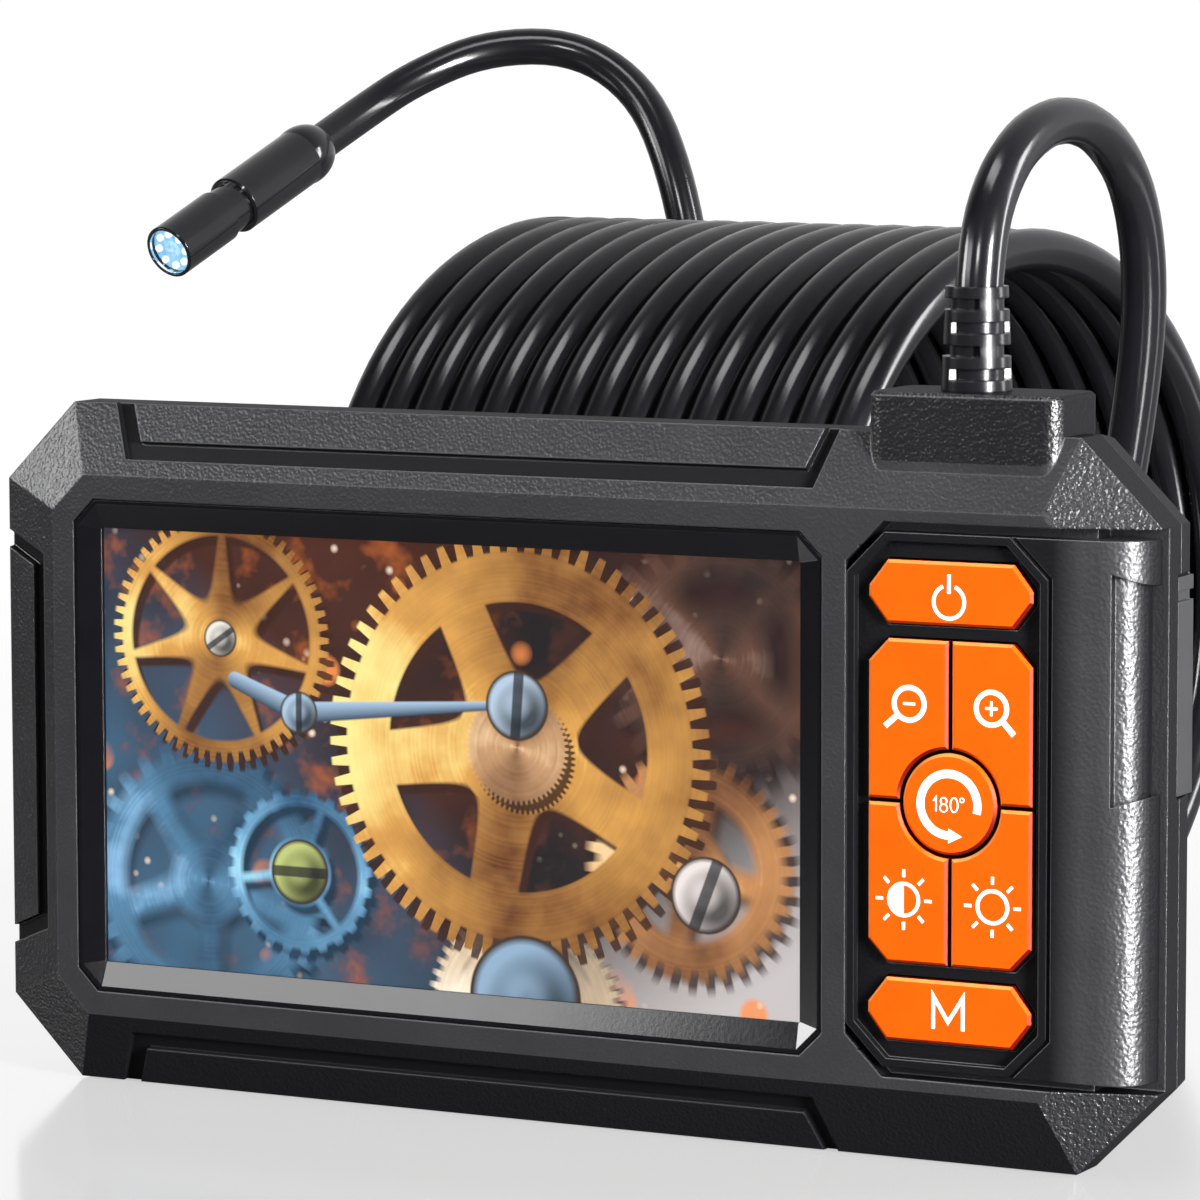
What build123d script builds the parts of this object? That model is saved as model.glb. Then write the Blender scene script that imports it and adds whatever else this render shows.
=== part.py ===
from build123d import *
from math import cos, pi, radians, sin, tan
import os

os.makedirs("parts", exist_ok=True)

# Handheld inspection camera: a display case with a seven-key pad, and a semi-rigid
# camera cable that is wound into a coil behind the case. Millimetres throughout.
# X runs to the user's right, Y from the front to the back, and Z up. The origin is
# at the middle of the case's width and depth, on the surface that it stands on.
# A "depth" is measured backwards from the case's front plane.

# ---- case -------------------------------------------------------------------
body_width = 153.7
body_height = 84.3
body_depth = 27.0
corner_cut = 9.8        # diagonal corners of the outer outline
bevel_run_x = 8.7       # how far the front bevel reaches in at the sides
bevel_run_z = 8.65      # and at the top and bottom
bevel_depth = 3.6
ridge_cut = 4.44        # diagonal corners of the front plane
parting_depth = 9.4     # where the two shells meet
draft_depth = 13.8      # end of the nearly straight side of the rear shell
draft_inset = 0.7
back_inset = 9.0
wall = 2.4
front_wall = 1.95
back_wall = 2.2
parting_line = 0.3      # small step cut round the rear shell at the parting plane

# ---- display ----------------------------------------------------------------
active_width = 95.04    # 4.3 inch picture, 16:9
active_height = 53.86
screen_margin = 3.0     # from the ridge's left edge to the screen opening
opening_width = 101.6
opening_height = 61.05
opening_cut = 2.8
bezel_gap = 0.12
bezel_front = 0.15
bezel_lip_depth = 1.2
window_depth = 1.5
window_thickness = 0.5
window_lap = 1.9        # how far the window reaches under the bezel's lip
lcd_gap = 0.05
cell_thickness = 1.25
cell_lap = 1.8
backlight_width = 105.5
backlight_height = 67.2
backlight_thickness = 2.95
cell_gap = 0.1

# ---- grip panel and keypad --------------------------------------------------
panel_gap_x = 3.15      # from the screen opening to the panel
panel_height = 61.8
panel_cut = 4.7
panel_edge_inset = 0.85  # the panel's right side lies this far inside the flank
roll_radius = 5.2
panel_thickness = 2.5
panel_skirt_depth = 5.8
panel_channel = 1.2     # open channel above and below the panel
panel_fit = 0.1
key_margin = 2.3        # from the keys to the recess's side
rim = 1.0
recess_depth = 1.0
rim_groove = 0.5
rim_groove_depth = 0.35
scallop_depth = 1.1
scallop_bottom = 1.4    # heights above the middle of the case
scallop_top = 25.0
scallop_reach = 3.8     # how far the scallop reaches in from the panel's right side
key_shift = 0.4         # keys' centre line, right of the recess's
key_width = 20.4
end_key_height = 7.3
end_key_cut_x = 2.35
end_key_cut_z = 3.0
block_height = 37.4
block_cut_x = 2.45
block_cut_z = 2.6
key_pitch = 24.1        # from the middle of the block to an end key's middle
key_split = 0.45           # gap between two keys of the block
round_key_radius = 5.85
key_fit = 0.2
key_front = 0.05
key_back = 2.9
key_edge = 0.35
key_travel = 0.6

# ---- what lies behind the keys ----------------------------------------------
post_gap = 0.75         # key to membrane post, a little more than the travel
sheet_front = 4.2
sheet_thickness = 0.7
key_board_front = 5.6
board_thickness = 1.6
sheet_lap = 1.0         # how far the membrane reaches past the window behind the keys
key_board_lap = 3.1
switch_radius = 2.2
switch_height = 0.5
key_wall_back = 4.1
deep_wall_back = 7.8

# ---- fasteners --------------------------------------------------------------
post_radius = 2.9
screw_radius = 0.95
pilot_radius = 1.0
clear_radius = 1.2
screw_head_radius = 1.9
screw_head_height = 1.6
head_bore_radius = 2.1
screw_seat_depth = 14.0
screw_reach = 6.7
side_post_inset = 6.0   # post centre to the flank
side_post_z = 12.4
middle_post_inset = 5.4

# ---- electronics ------------------------------------------------------------
main_board_front = 9.9
main_board_width = 103.0
main_board_height = 66.0
standoff_radius = 2.6
standoff_inset = 4.0
battery_size = (70.0, 8.0, 40.0)
battery_gap = 0.1
port_centre_depth = 11.2
bay_bottom = 1.0        # heights above the middle of the case
bay_top = 26.6
bay_half_depth = 2.6
bay_recess = 1.55
cover_gap = 0.3
cover_thickness = 1.25
plug_height = 0.7
port_board_front = 12.85
port_board_width = 13.4
port_board_margin = 1.2  # from the port board to the inside of the wall

# ---- cable ------------------------------------------------------------------
cable_diameter = 5.5
gland_width = 24.0
gland_front = 1.75
gland_height = 4.6
gland_edge = 2.2
relief_x = 52.2
relief_depth = 8.0
relief_height = 12.0
relief_base_radius = 4.1
relief_top_radius = 3.6
relief_core_radius = 3.1
relief_floor = 1.1      # solid bottom of the relief, below the cable's end
relief_fit = 0.05
relief_neck_radius = 2.9
relief_flange_radius = 3.4
relief_flange = 1.2
relief_collar = 2.5
relief_collar_radius = 5.0
relief_rows = 4
web = 2.2
coil_turns = 15.19
coil_pitch = 5.6
coil_radius = 51.5      # outside
coil_end = (14.6, 98.1, 51.5)  # centre of the coil's right end
coil_turned = -8.5      # the coil's axis, in degrees from X
coil_overlap = 2.8

# Routes of the two free stretches: corners of straight runs joined by arcs.
lead_route = [
    (relief_x, relief_depth - body_depth / 2, body_height + gland_height + relief_floor),
    (52.2, -5.5, 104.0), (52.3, 0.8, 114.2), (53.2, 11.6, 119.6), (54.3, 24.1, 118.8),
    (55.0, 34.8, 111.4), (54.4, 40.4, 98.4), (51.8, 43.0, 82.6), (48.0, 44.5, 65.5),
    (42.0, 45.2, 47.0), (34.5, 50.0, 29.5), (27.5, 61.5, 14.8), (22.5, 78.0, 6.0),
    (19.7, 97.3, 2.2), (18.8, 116.7, 6.0),
]
tail_route = [
    (-61.0, 159.7, 51.5), (-61.8, 160.0, 71.0), (-65.2, 158.2, 90.0), (-69.2, 159.4, 107.0),
    (-76.3, 162.3, 119.5), (-87.5, 162.0, 126.3), (-99.5, 156.0, 126.2),
    (-107.6, 147.8, 121.6), (-111.9, 139.9, 116.6), (-113.6, 130.0, 112.2),
]

# ---- camera head, from its rear to its lens ---------------------------------
ferrule_length = 21.6
ferrule_radius = 4.3
ferrule_round = 5.5     # length of the rounded rear end
neck_length = 3.5
neck_radius = 3.55
barrel_length = 12.0
barrel_radius = 3.95
barrel_bore = 3.45
spigot_length = 3.0
spigot_gap = 0.05
lens_window_thickness = 0.7
lens_window_inset = 0.2
head_gap = 0.1
led_count = 8
led_ring = 2.45
led_radius = 0.5
led_height = 0.5
lens_radius = 1.15
lens_length = 1.9
head_board_thickness = 0.8

# ---- values that follow from the ones above ---------------------------------
front_y = -body_depth / 2
mid_z = body_height / 2
flank_x = body_width / 2
ridge_width = body_width - 2 * bevel_run_x
ridge_height = body_height - 2 * bevel_run_z
opening_left = -ridge_width / 2 + screen_margin
screen_x = opening_left + opening_width / 2
panel_left = opening_left + opening_width + panel_gap_x
panel_right = flank_x - panel_edge_inset
recess_width = key_width + 2 * key_margin
recess_x = panel_left + recess_width / 2
key_x = recess_x + key_shift
relief_y = front_y + relief_depth
gland_top = body_height + gland_height
side_posts = [
    (side * (flank_x - side_post_inset), height)
    for side in (-1, 1)
    for height in (side_post_z, body_height - side_post_z)
]
middle_posts = [
    (screen_x, middle_post_inset),
    (screen_x, body_height - middle_post_inset),
]
case_posts = side_posts + middle_posts


def at_depth(depth):
    """A plane parallel to the front, seen from the front: X right and Z up."""
    return Plane(origin=(0, front_y + depth, 0), x_dir=(1, 0, 0), z_dir=(0, -1, 0))


def across(x, depth, height):
    """A plane facing right, with its own x to the back and its own y up."""
    return Plane(origin=(x, front_y + depth, height), x_dir=(0, 1, 0), z_dir=(1, 0, 0))


def octagon(width, height, cut_x, cut_z=None, centre=(0, mid_z)):
    """Corners of a rectangle with four cut corners."""
    cut_z = cut_x if cut_z is None else cut_z
    half_w, half_h = width / 2, height / 2
    quarter = [(half_w, half_h - cut_z), (half_w - cut_x, half_h)]
    signs = [(1, 1), (-1, 1), (-1, -1), (1, -1)]
    corners = []
    for turn, (sx, sz) in enumerate(signs):
        pair = quarter if turn % 2 == 0 else quarter[::-1]
        corners += [(centre[0] + sx * x, centre[1] + sz * z) for x, z in pair]
    return corners


def case_outline(inset):
    """The case's outer outline, moved in evenly by a distance."""
    cut = corner_cut - inset * (2 - 2**0.5)
    return octagon(body_width - 2 * inset, body_height - 2 * inset, cut)


def key_spots():
    """Centre of the switch under each key, seen from the front."""
    side, rise = key_width / 4 + 0.6, block_height / 4 + 1.5
    ends = [(key_x, mid_z + key_pitch), (key_x, mid_z - key_pitch)]
    quarters = [(key_x + sx * side, mid_z + sz * rise) for sx in (-1, 1) for sz in (-1, 1)]
    return ends + quarters + [(key_x, mid_z)]


def route_tube(points, radius):
    """A round tube along straight runs joined by arcs as large as the runs allow."""
    corners = [Vector(*point) for point in points]
    runs = [end - start for start, end in zip(corners, corners[1:])]
    radii = []
    for before, after in zip(runs, runs[1:]):
        turn = radians(before.get_angle(after))
        radii.append(0.45 * min(before.length, after.length) / tan(turn / 2))
    path = FilletPolyline(*corners, radius=radii)
    start = Plane(origin=corners[0], z_dir=runs[0])
    with BuildPart() as tube:
        with BuildSketch(start):
            Circle(radius)
        sweep(path=path)
    return tube.part, radii, path.length


# ---- tools that cut both shells ---------------------------------------------
relief_plane = Plane.XY.offset(gland_top)

with BuildPart() as relief_bore:
    with BuildSketch(relief_plane):
        with Locations((relief_x, relief_y)):
            Circle(relief_neck_radius + 0.05)
    extrude(amount=-2 * gland_height - wall - relief_collar)

with BuildPart() as gland_block:
    gland_depth = 2 * (relief_depth - gland_front)
    gland_mid = gland_front + gland_depth / 2
    with BuildSketch(relief_plane):
        with Locations((relief_x + 0.8, front_y + gland_mid)):
            RectangleRounded(gland_width, gland_depth, gland_edge)
    extrude(amount=-gland_height - wall - 3.5)
    chamfer(gland_block.faces().sort_by(Axis.Z)[-1].edges(), 0.4)

with BuildPart() as relief_collar_block:
    with BuildSketch(Plane.XY.offset(body_height - wall - relief_collar)):
        with Locations((relief_x, relief_y)):
            Circle(relief_collar_radius)
    extrude(amount=2 * relief_collar)

with BuildPart() as port_bay:
    bay_height = bay_top - bay_bottom
    bay_mid = mid_z + (bay_top + bay_bottom) / 2
    bay_plane = across(flank_x + 1, port_centre_depth, bay_mid)
    with BuildSketch(bay_plane):
        Rectangle(2 * bay_half_depth, bay_height)
    extrude(amount=-1 - bay_recess)
    with BuildSketch(bay_plane):
        Rectangle(2 * bay_half_depth - 1.2, bay_height - 3.2)
    extrude(amount=-1 - wall - 1)

# ---- front housing ----------------------------------------------------------
with BuildPart() as front_cavity:
    with BuildSketch(at_depth(front_wall)):
        Polygon(*octagon(ridge_width + 0.8, ridge_height + 0.8, 2.0), align=None)
    with BuildSketch(at_depth(front_wall + 3.25)):
        Polygon(*case_outline(wall), align=None)
    loft(ruled=True)
    with BuildSketch(at_depth(parting_depth + 1)):
        Polygon(*case_outline(wall), align=None)
    extrude(amount=parting_depth + 1 - front_wall - 3.25)
    # The wall behind the keys is thicker, and thickest behind the rolled edge.
    with BuildSketch(at_depth(key_wall_back)):
        with Locations(((panel_left + flank_x) / 2, mid_z)):
            Rectangle(flank_x - panel_left + 1.8, body_height)
    extrude(amount=key_wall_back, mode=Mode.SUBTRACT)
    with BuildSketch(at_depth(deep_wall_back)):
        with Locations((flank_x - roll_radius / 2, mid_z)):
            Rectangle(roll_radius + 6.4, body_height)
    extrude(amount=deep_wall_back, mode=Mode.SUBTRACT)
    # Screw posts and key board posts are what the cavity leaves standing.
    with BuildSketch(at_depth(parting_depth + 1)):
        with Locations(*case_posts):
            Circle(post_radius)
    extrude(amount=parting_depth + 1, mode=Mode.SUBTRACT)
    key_board_posts = [
        (recess_x + sx * (recess_width / 2 - 4), mid_z + sz * (panel_height / 2 + 1.7))
        for sx in (-1, 1)
        for sz in (-1, 1)
    ]
    with BuildSketch(at_depth(key_board_front)):
        with Locations(*key_board_posts):
            Circle(1.7)
    extrude(amount=key_board_front, mode=Mode.SUBTRACT)
    add(relief_collar_block.part, mode=Mode.SUBTRACT)

with BuildPart() as panel_pocket:
    pocket_height = panel_height + 2 * panel_channel
    pocket_corners = octagon(2 * (flank_x + 5 - panel_left + panel_fit), pocket_height,
                             panel_cut, centre=(flank_x + 5, mid_z))
    with BuildSketch(at_depth(panel_thickness + panel_fit)):
        Polygon(*pocket_corners, align=None)
    extrude(amount=panel_thickness + 2)
    with BuildSketch(at_depth(panel_skirt_depth + 0.2)):
        with Locations((flank_x + 5, mid_z)):
            Rectangle(2 * (roll_radius + 1.2 + panel_edge_inset + 5), pocket_height)
    extrude(amount=panel_skirt_depth + 2)

with BuildPart() as key_window:
    window_height = panel_height - 2 * rim - 1.2
    with BuildSketch(at_depth(key_board_front)):
        with Locations((recess_x, mid_z)):
            Rectangle(recess_width - 2 * rim - 1.0, window_height)
    extrude(amount=key_board_front)

channel_depth = 0.9
top_bevel = Plane(origin=(0, front_y, mid_z + ridge_height / 2), x_dir=(1, 0, 0),
                  z_dir=(0, -bevel_run_z, bevel_depth)).offset(0.5)
left_bevel = Plane(origin=(-ridge_width / 2, front_y, mid_z), x_dir=(-bevel_run_x, bevel_depth, 0),
                   z_dir=(-bevel_depth, -bevel_run_x, 0)).offset(0.5)
channel_left = -flank_x + 18.85
channel_right = relief_x - 17.3
left_channel_half = 23.35

with BuildPart() as bevel_channels:
    with BuildSketch(top_bevel):
        Polygon((channel_left, 2.17), (channel_right, 2.17), (channel_right + 2.6, 11),
                (channel_left - 3.6, 11), align=None)
        Polygon((channel_left + 1.6, 4.5), (channel_right - 1.4, 4.5), (channel_right + 0.8, 11),
                (channel_left - 1.15, 11), align=None, mode=Mode.SUBTRACT)
    extrude(amount=-channel_depth - 0.5)
    mirror(about=Plane.XY.offset(mid_z))
    with BuildSketch(left_bevel):
        half = left_channel_half
        Polygon((2.1, -half), (11, -half - 3.2), (11, half + 3.2), (2.1, half), align=None)
        Polygon((4.27, -half + 1.5), (11, -half - 1.0), (11, half + 1.0), (4.27, half - 1.5),
                align=None, mode=Mode.SUBTRACT)
    extrude(amount=-channel_depth - 0.5)

with BuildPart() as front_housing:
    with BuildSketch(at_depth(0)):
        Polygon(*octagon(ridge_width, ridge_height, ridge_cut), align=None)
    with BuildSketch(at_depth(bevel_depth)):
        Polygon(*case_outline(0), align=None)
    loft(ruled=True)
    with BuildSketch(at_depth(parting_depth)):
        Polygon(*case_outline(0), align=None)
    extrude(amount=parting_depth - bevel_depth)
    add(gland_block.part)
    split(bisect_by=at_depth(parting_depth), keep=Keep.TOP)
    add(front_cavity.part, mode=Mode.SUBTRACT)
    with BuildSketch(at_depth(front_wall + 1)):
        Polygon(*octagon(opening_width, opening_height, opening_cut, centre=(screen_x, mid_z)),
                align=None)
    extrude(amount=front_wall + 2, mode=Mode.SUBTRACT)
    add(panel_pocket.part, mode=Mode.SUBTRACT)
    add(key_window.part, mode=Mode.SUBTRACT)
    add(bevel_channels.part, mode=Mode.SUBTRACT)
    add(relief_bore.part, mode=Mode.SUBTRACT)
    add(port_bay.part, mode=Mode.SUBTRACT)
    with BuildSketch(at_depth(parting_depth)):
        with Locations(*case_posts):
            Circle(pilot_radius)
    extrude(amount=parting_depth - screw_reach + 0.1, mode=Mode.SUBTRACT)
    with BuildSketch(at_depth(key_board_front)):
        with Locations(*key_board_posts):
            Circle(0.65)
    extrude(amount=2.2, mode=Mode.SUBTRACT)
front_housing.part.label = "front_housing"
export_step(front_housing.part, "parts/front_housing.step")

# ---- rear housing -----------------------------------------------------------
main_board_x = screen_x
board_holes = [
    (main_board_x + sx * (main_board_width / 2 - standoff_inset),
     mid_z + sz * (main_board_height / 2 - standoff_inset))
    for sx in (-1, 1)
    for sz in (-1, 1)
]
port_board_left = flank_x - wall - port_board_margin - port_board_width
port_board_holes = [(port_board_left + 3.0, bay_mid - 8.6), (port_board_left + 3.0, bay_mid + 8.6)]

with BuildPart() as rear_cavity:
    with BuildSketch(at_depth(parting_depth - 1)):
        Polygon(*case_outline(wall), align=None)
    extrude(amount=-1)
    with BuildSketch(at_depth(parting_depth)):
        Polygon(*case_outline(wall), align=None)
    with BuildSketch(at_depth(draft_depth)):
        Polygon(*case_outline(wall + draft_inset), align=None)
    loft(ruled=True)
    with BuildSketch(at_depth(draft_depth)):
        Polygon(*case_outline(wall + draft_inset), align=None)
    with BuildSketch(at_depth(body_depth - back_wall)):
        Polygon(*case_outline(wall + back_inset - 1.4), align=None)
    loft(ruled=True)
    with BuildSketch(at_depth(parting_depth - 2)):
        with Locations(*case_posts):
            Circle(post_radius)
    extrude(amount=-body_depth, mode=Mode.SUBTRACT)
    with BuildSketch(at_depth(main_board_front + board_thickness)):
        with Locations(*board_holes):
            Circle(standoff_radius)
    extrude(amount=-body_depth, mode=Mode.SUBTRACT)
    with BuildSketch(at_depth(port_board_front + board_thickness)):
        with Locations(*port_board_holes):
            Circle(standoff_radius)
    extrude(amount=-body_depth, mode=Mode.SUBTRACT)
    add(relief_collar_block.part, mode=Mode.SUBTRACT)

with BuildPart() as rear_housing:
    with BuildSketch(at_depth(parting_depth)):
        Polygon(*case_outline(0), align=None)
    with BuildSketch(at_depth(draft_depth)):
        Polygon(*case_outline(draft_inset), align=None)
    loft(ruled=True)
    with BuildSketch(at_depth(draft_depth)):
        Polygon(*case_outline(draft_inset), align=None)
    with BuildSketch(at_depth(body_depth)):
        Polygon(*case_outline(back_inset), align=None)
    loft(ruled=True)
    add(gland_block.part)
    split(bisect_by=at_depth(parting_depth), keep=Keep.BOTTOM)
    # Parting line: a fine step round the joint between the shells.
    with BuildSketch(at_depth(parting_depth + parting_line)):
        Polygon(*case_outline(-10), align=None)
        Polygon(*case_outline(parting_line), align=None, mode=Mode.SUBTRACT)
        with Locations((relief_x + 0.8, body_height + 5)):
            Rectangle(gland_width, 16, mode=Mode.SUBTRACT)
    extrude(amount=parting_line, mode=Mode.SUBTRACT)
    add(rear_cavity.part, mode=Mode.SUBTRACT)
    add(relief_bore.part, mode=Mode.SUBTRACT)
    add(port_bay.part, mode=Mode.SUBTRACT)
    # A shallow field in the back face.
    with BuildSketch(at_depth(body_depth)):
        Polygon(*case_outline(back_inset + 6), align=None)
    extrude(amount=0.6, mode=Mode.SUBTRACT)
    with BuildSketch(at_depth(body_depth)):
        with Locations(*case_posts):
            Circle(clear_radius)
    extrude(amount=body_depth - parting_depth + 1, mode=Mode.SUBTRACT)
    with BuildSketch(at_depth(body_depth)):
        with Locations(*case_posts):
            Circle(head_bore_radius)
    extrude(amount=body_depth - screw_seat_depth, mode=Mode.SUBTRACT)
    with BuildSketch(at_depth(main_board_front + board_thickness)):
        with Locations(*board_holes):
            Circle(pilot_radius)
    extrude(amount=-6, mode=Mode.SUBTRACT)
    with BuildSketch(at_depth(port_board_front + board_thickness)):
        with Locations(*port_board_holes):
            Circle(pilot_radius)
    extrude(amount=-6, mode=Mode.SUBTRACT)
rear_housing.part.label = "rear_housing"
export_step(rear_housing.part, "parts/rear_housing.step")

# ---- display stack ----------------------------------------------------------
with BuildPart() as bezel_slope:
    with BuildSketch(at_depth(bezel_front - 0.05)):
        Polygon(*octagon(opening_width - 0.9, opening_height - 0.9, opening_cut,
                         centre=(screen_x, mid_z)), align=None)
    with BuildSketch(at_depth(bezel_lip_depth)):
        Polygon(*octagon(active_width, active_height, 0.15, centre=(screen_x, mid_z)), align=None)
    loft(ruled=True)

window_width = active_width + 2 * window_lap
window_tall = active_height + 2 * window_lap

with BuildPart() as screen_bezel:
    bezel_back = window_depth + window_thickness
    with BuildSketch(at_depth(bezel_back)):
        Polygon(*octagon(opening_width - 2 * bezel_gap, opening_height - 2 * bezel_gap,
                         opening_cut, centre=(screen_x, mid_z)), align=None)
    extrude(amount=bezel_back - bezel_front)
    with BuildSketch(at_depth(bezel_back)):
        with Locations((screen_x, mid_z)):
            Rectangle(active_width, active_height)
    extrude(amount=bezel_back, mode=Mode.SUBTRACT)
    add(bezel_slope.part, mode=Mode.SUBTRACT)
    with BuildSketch(at_depth(bezel_back)):
        with Locations((screen_x, mid_z)):
            Rectangle(window_width + 2 * bezel_gap, window_tall + 2 * bezel_gap)
    extrude(amount=window_thickness, mode=Mode.SUBTRACT)
screen_bezel.part.label = "screen_bezel"
export_step(screen_bezel.part, "parts/screen_bezel.step")

with BuildPart() as display_window:
    with BuildSketch(at_depth(window_depth + window_thickness)):
        with Locations((screen_x, mid_z)):
            Rectangle(window_width, window_tall)
    extrude(amount=window_thickness)
display_window.part.label = "display_window"
export_step(display_window.part, "parts/display_window.step")

lcd_front = window_depth + window_thickness + lcd_gap
with BuildPart() as lcd_panel:
    with BuildSketch(at_depth(lcd_front + cell_thickness)):
        with Locations((screen_x, mid_z)):
            Rectangle(active_width + 2 * cell_lap, active_height + 2 * cell_lap)
    extrude(amount=cell_thickness)
lcd_panel.part.label = "lcd_panel"
export_step(lcd_panel.part, "parts/lcd_panel.step")

with BuildPart() as lcd_backlight:
    with BuildSketch(at_depth(lcd_front + backlight_thickness)):
        with Locations((screen_x, mid_z)):
            RectangleRounded(backlight_width, backlight_height, 2.0)
    extrude(amount=backlight_thickness)
    with BuildSketch(at_depth(lcd_front + cell_thickness + cell_gap)):
        with Locations((screen_x, mid_z)):
            Rectangle(active_width + 2 * (cell_lap + cell_gap),
                      active_height + 2 * (cell_lap + cell_gap))
    extrude(amount=cell_thickness + 1, mode=Mode.SUBTRACT)
lcd_backlight.part.label = "lcd_backlight"
export_step(lcd_backlight.part, "parts/lcd_backlight.step")

# ---- grip panel -------------------------------------------------------------
with BuildPart() as scallop:
    right = panel_right + 2
    inner = panel_right - scallop_reach
    with BuildSketch(at_depth(panel_skirt_depth + 1)):
        Polygon((inner, mid_z + scallop_bottom - 0.6), (right, mid_z + scallop_bottom + 1.2),
                (right, mid_z + scallop_top), (inner, mid_z + scallop_top + 2.2), align=None)
    extrude(amount=panel_skirt_depth + 2)
    with BuildSketch(Plane.XY):
        with Locations((panel_right - roll_radius, front_y + roll_radius)):
            Circle(roll_radius - scallop_depth)
        with Locations((panel_right - roll_radius / 2 - 2 * scallop_depth,
                        front_y + 2 * roll_radius)):
            Rectangle(roll_radius + 2 * scallop_depth, 2 * roll_radius)
    extrude(amount=body_height, mode=Mode.SUBTRACT)

end_key = octagon(key_width, end_key_height, end_key_cut_x, end_key_cut_z, centre=(0, 0))
block = octagon(key_width, block_height, block_cut_x, block_cut_z, centre=(key_x, mid_z))


def grown(width, height, cut_x, cut_z, centre):
    """A key outline with the running gap of its hole added."""
    return octagon(width + 2 * key_fit, height + 2 * key_fit, cut_x, cut_z, centre=centre)


with BuildPart() as grip_panel:
    with BuildSketch(Plane.XY.offset(mid_z - panel_height / 2)):
        with BuildLine():
            roll_start = panel_right - roll_radius
            back = front_y + panel_thickness
            skirt = front_y + panel_skirt_depth
            Line((panel_left, front_y), (roll_start, front_y))
            TangentArc((roll_start, front_y), (panel_right, front_y + roll_radius),
                       tangent=(1, 0))
            Polyline((panel_right, front_y + roll_radius), (panel_right, skirt),
                     (roll_start - 0.8, skirt), (roll_start - 0.8, back), (panel_left, back),
                     (panel_left, front_y))
        make_face()
    extrude(amount=panel_height)
    with BuildSketch(at_depth(panel_skirt_depth)):
        Polygon(*octagon(2 * (panel_right - panel_left), panel_height, panel_cut,
                         centre=(panel_right, mid_z)), align=None)
    extrude(amount=panel_skirt_depth, mode=Mode.INTERSECT)
    with BuildSketch(at_depth(recess_depth)):
        Polygon(*octagon(recess_width - 2 * rim, panel_height - 2 * rim, panel_cut - 0.6,
                         centre=(recess_x, mid_z)), align=None)
    extrude(amount=recess_depth + 1, mode=Mode.SUBTRACT)
    with BuildSketch(at_depth(rim_groove_depth)):
        Polygon(*octagon(recess_width + 2 * rim_groove, panel_height + 2 * rim_groove,
                         panel_cut + 0.3, centre=(recess_x, mid_z)), align=None)
        Polygon(*octagon(recess_width, panel_height, panel_cut, centre=(recess_x, mid_z)),
                align=None, mode=Mode.SUBTRACT)
    extrude(amount=1, mode=Mode.SUBTRACT)
    with BuildSketch(at_depth(panel_thickness + 1)):
        Polygon(*grown(key_width, block_height, block_cut_x, block_cut_z, (key_x, mid_z)),
                align=None)
        for side in (-1, 1):
            Polygon(*grown(key_width, end_key_height, end_key_cut_x, end_key_cut_z,
                           (key_x, mid_z + side * key_pitch)), align=None)
    extrude(amount=panel_thickness + 2, mode=Mode.SUBTRACT)
    add(scallop.part, mode=Mode.SUBTRACT)
grip_panel.part.label = "grip_panel"
export_step(grip_panel.part, "parts/grip_panel.step")

# ---- keys -------------------------------------------------------------------
end_keys = {"power_key": key_pitch, "mode_key": -key_pitch}
block_keys = {
    "zoom_out_key": (-1, 1),
    "zoom_in_key": (1, 1),
    "contrast_key": (-1, -1),
    "light_key": (1, -1),
}
for name, rise in end_keys.items():
    with BuildPart() as key:
        with BuildSketch(at_depth(key_back)):
            Polygon(*[(key_x + x, mid_z + rise + z) for x, z in end_key], align=None)
        extrude(amount=key_back - key_front)
        chamfer(key.faces().sort_by(Axis.Y)[0].edges(), key_edge)
    key.part.label = name
    export_step(key.part, f"parts/{name}.step")

for name, (side, level) in block_keys.items():
    with BuildPart() as key:
        with BuildSketch(at_depth(key_back)):
            Polygon(*block, align=None)
            with Locations((key_x + side * (key_width + key_split) / 2,
                            mid_z + level * (block_height + key_split) / 2)):
                Rectangle(key_width, block_height, mode=Mode.INTERSECT)
            with Locations((key_x, mid_z)):
                Circle(round_key_radius + key_split, mode=Mode.SUBTRACT)
        extrude(amount=key_back - key_front)
        chamfer(key.faces().sort_by(Axis.Y)[0].edges(), key_edge)
    key.part.label = name
    export_step(key.part, f"parts/{name}.step")

with BuildPart() as rotate_key:
    with BuildSketch(at_depth(key_back)):
        with Locations((key_x, mid_z)):
            Circle(round_key_radius)
    extrude(amount=key_back - key_front)
    chamfer(rotate_key.faces().sort_by(Axis.Y)[0].edges(), key_edge)
rotate_key.part.label = "rotate_key"
export_step(rotate_key.part, "parts/rotate_key.step")

# ---- keypad membrane, switches and key board --------------------------------
sheet_width = recess_width - 2 * rim - 1.0 + 2 * sheet_lap
sheet_height = window_height + 2 * sheet_lap
with BuildPart() as keypad_membrane:
    with BuildSketch(at_depth(key_board_front - 0.05)):
        with Locations((recess_x, mid_z)):
            Rectangle(sheet_width, sheet_height)
            Rectangle(sheet_width - 2.4, sheet_height - 2.4, mode=Mode.SUBTRACT)
    extrude(amount=key_board_front - 0.05 - sheet_front)
    with BuildSketch(at_depth(sheet_front + sheet_thickness)):
        with Locations((recess_x, mid_z)):
            Rectangle(sheet_width, sheet_height)
    extrude(amount=sheet_thickness)
    with BuildSketch(at_depth(sheet_front)):
        with Locations(*key_spots()):
            Circle(switch_radius)
    extrude(amount=sheet_front - key_back - post_gap)
keypad_membrane.part.label = "keypad_membrane"
export_step(keypad_membrane.part, "parts/keypad_membrane.step")

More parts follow.
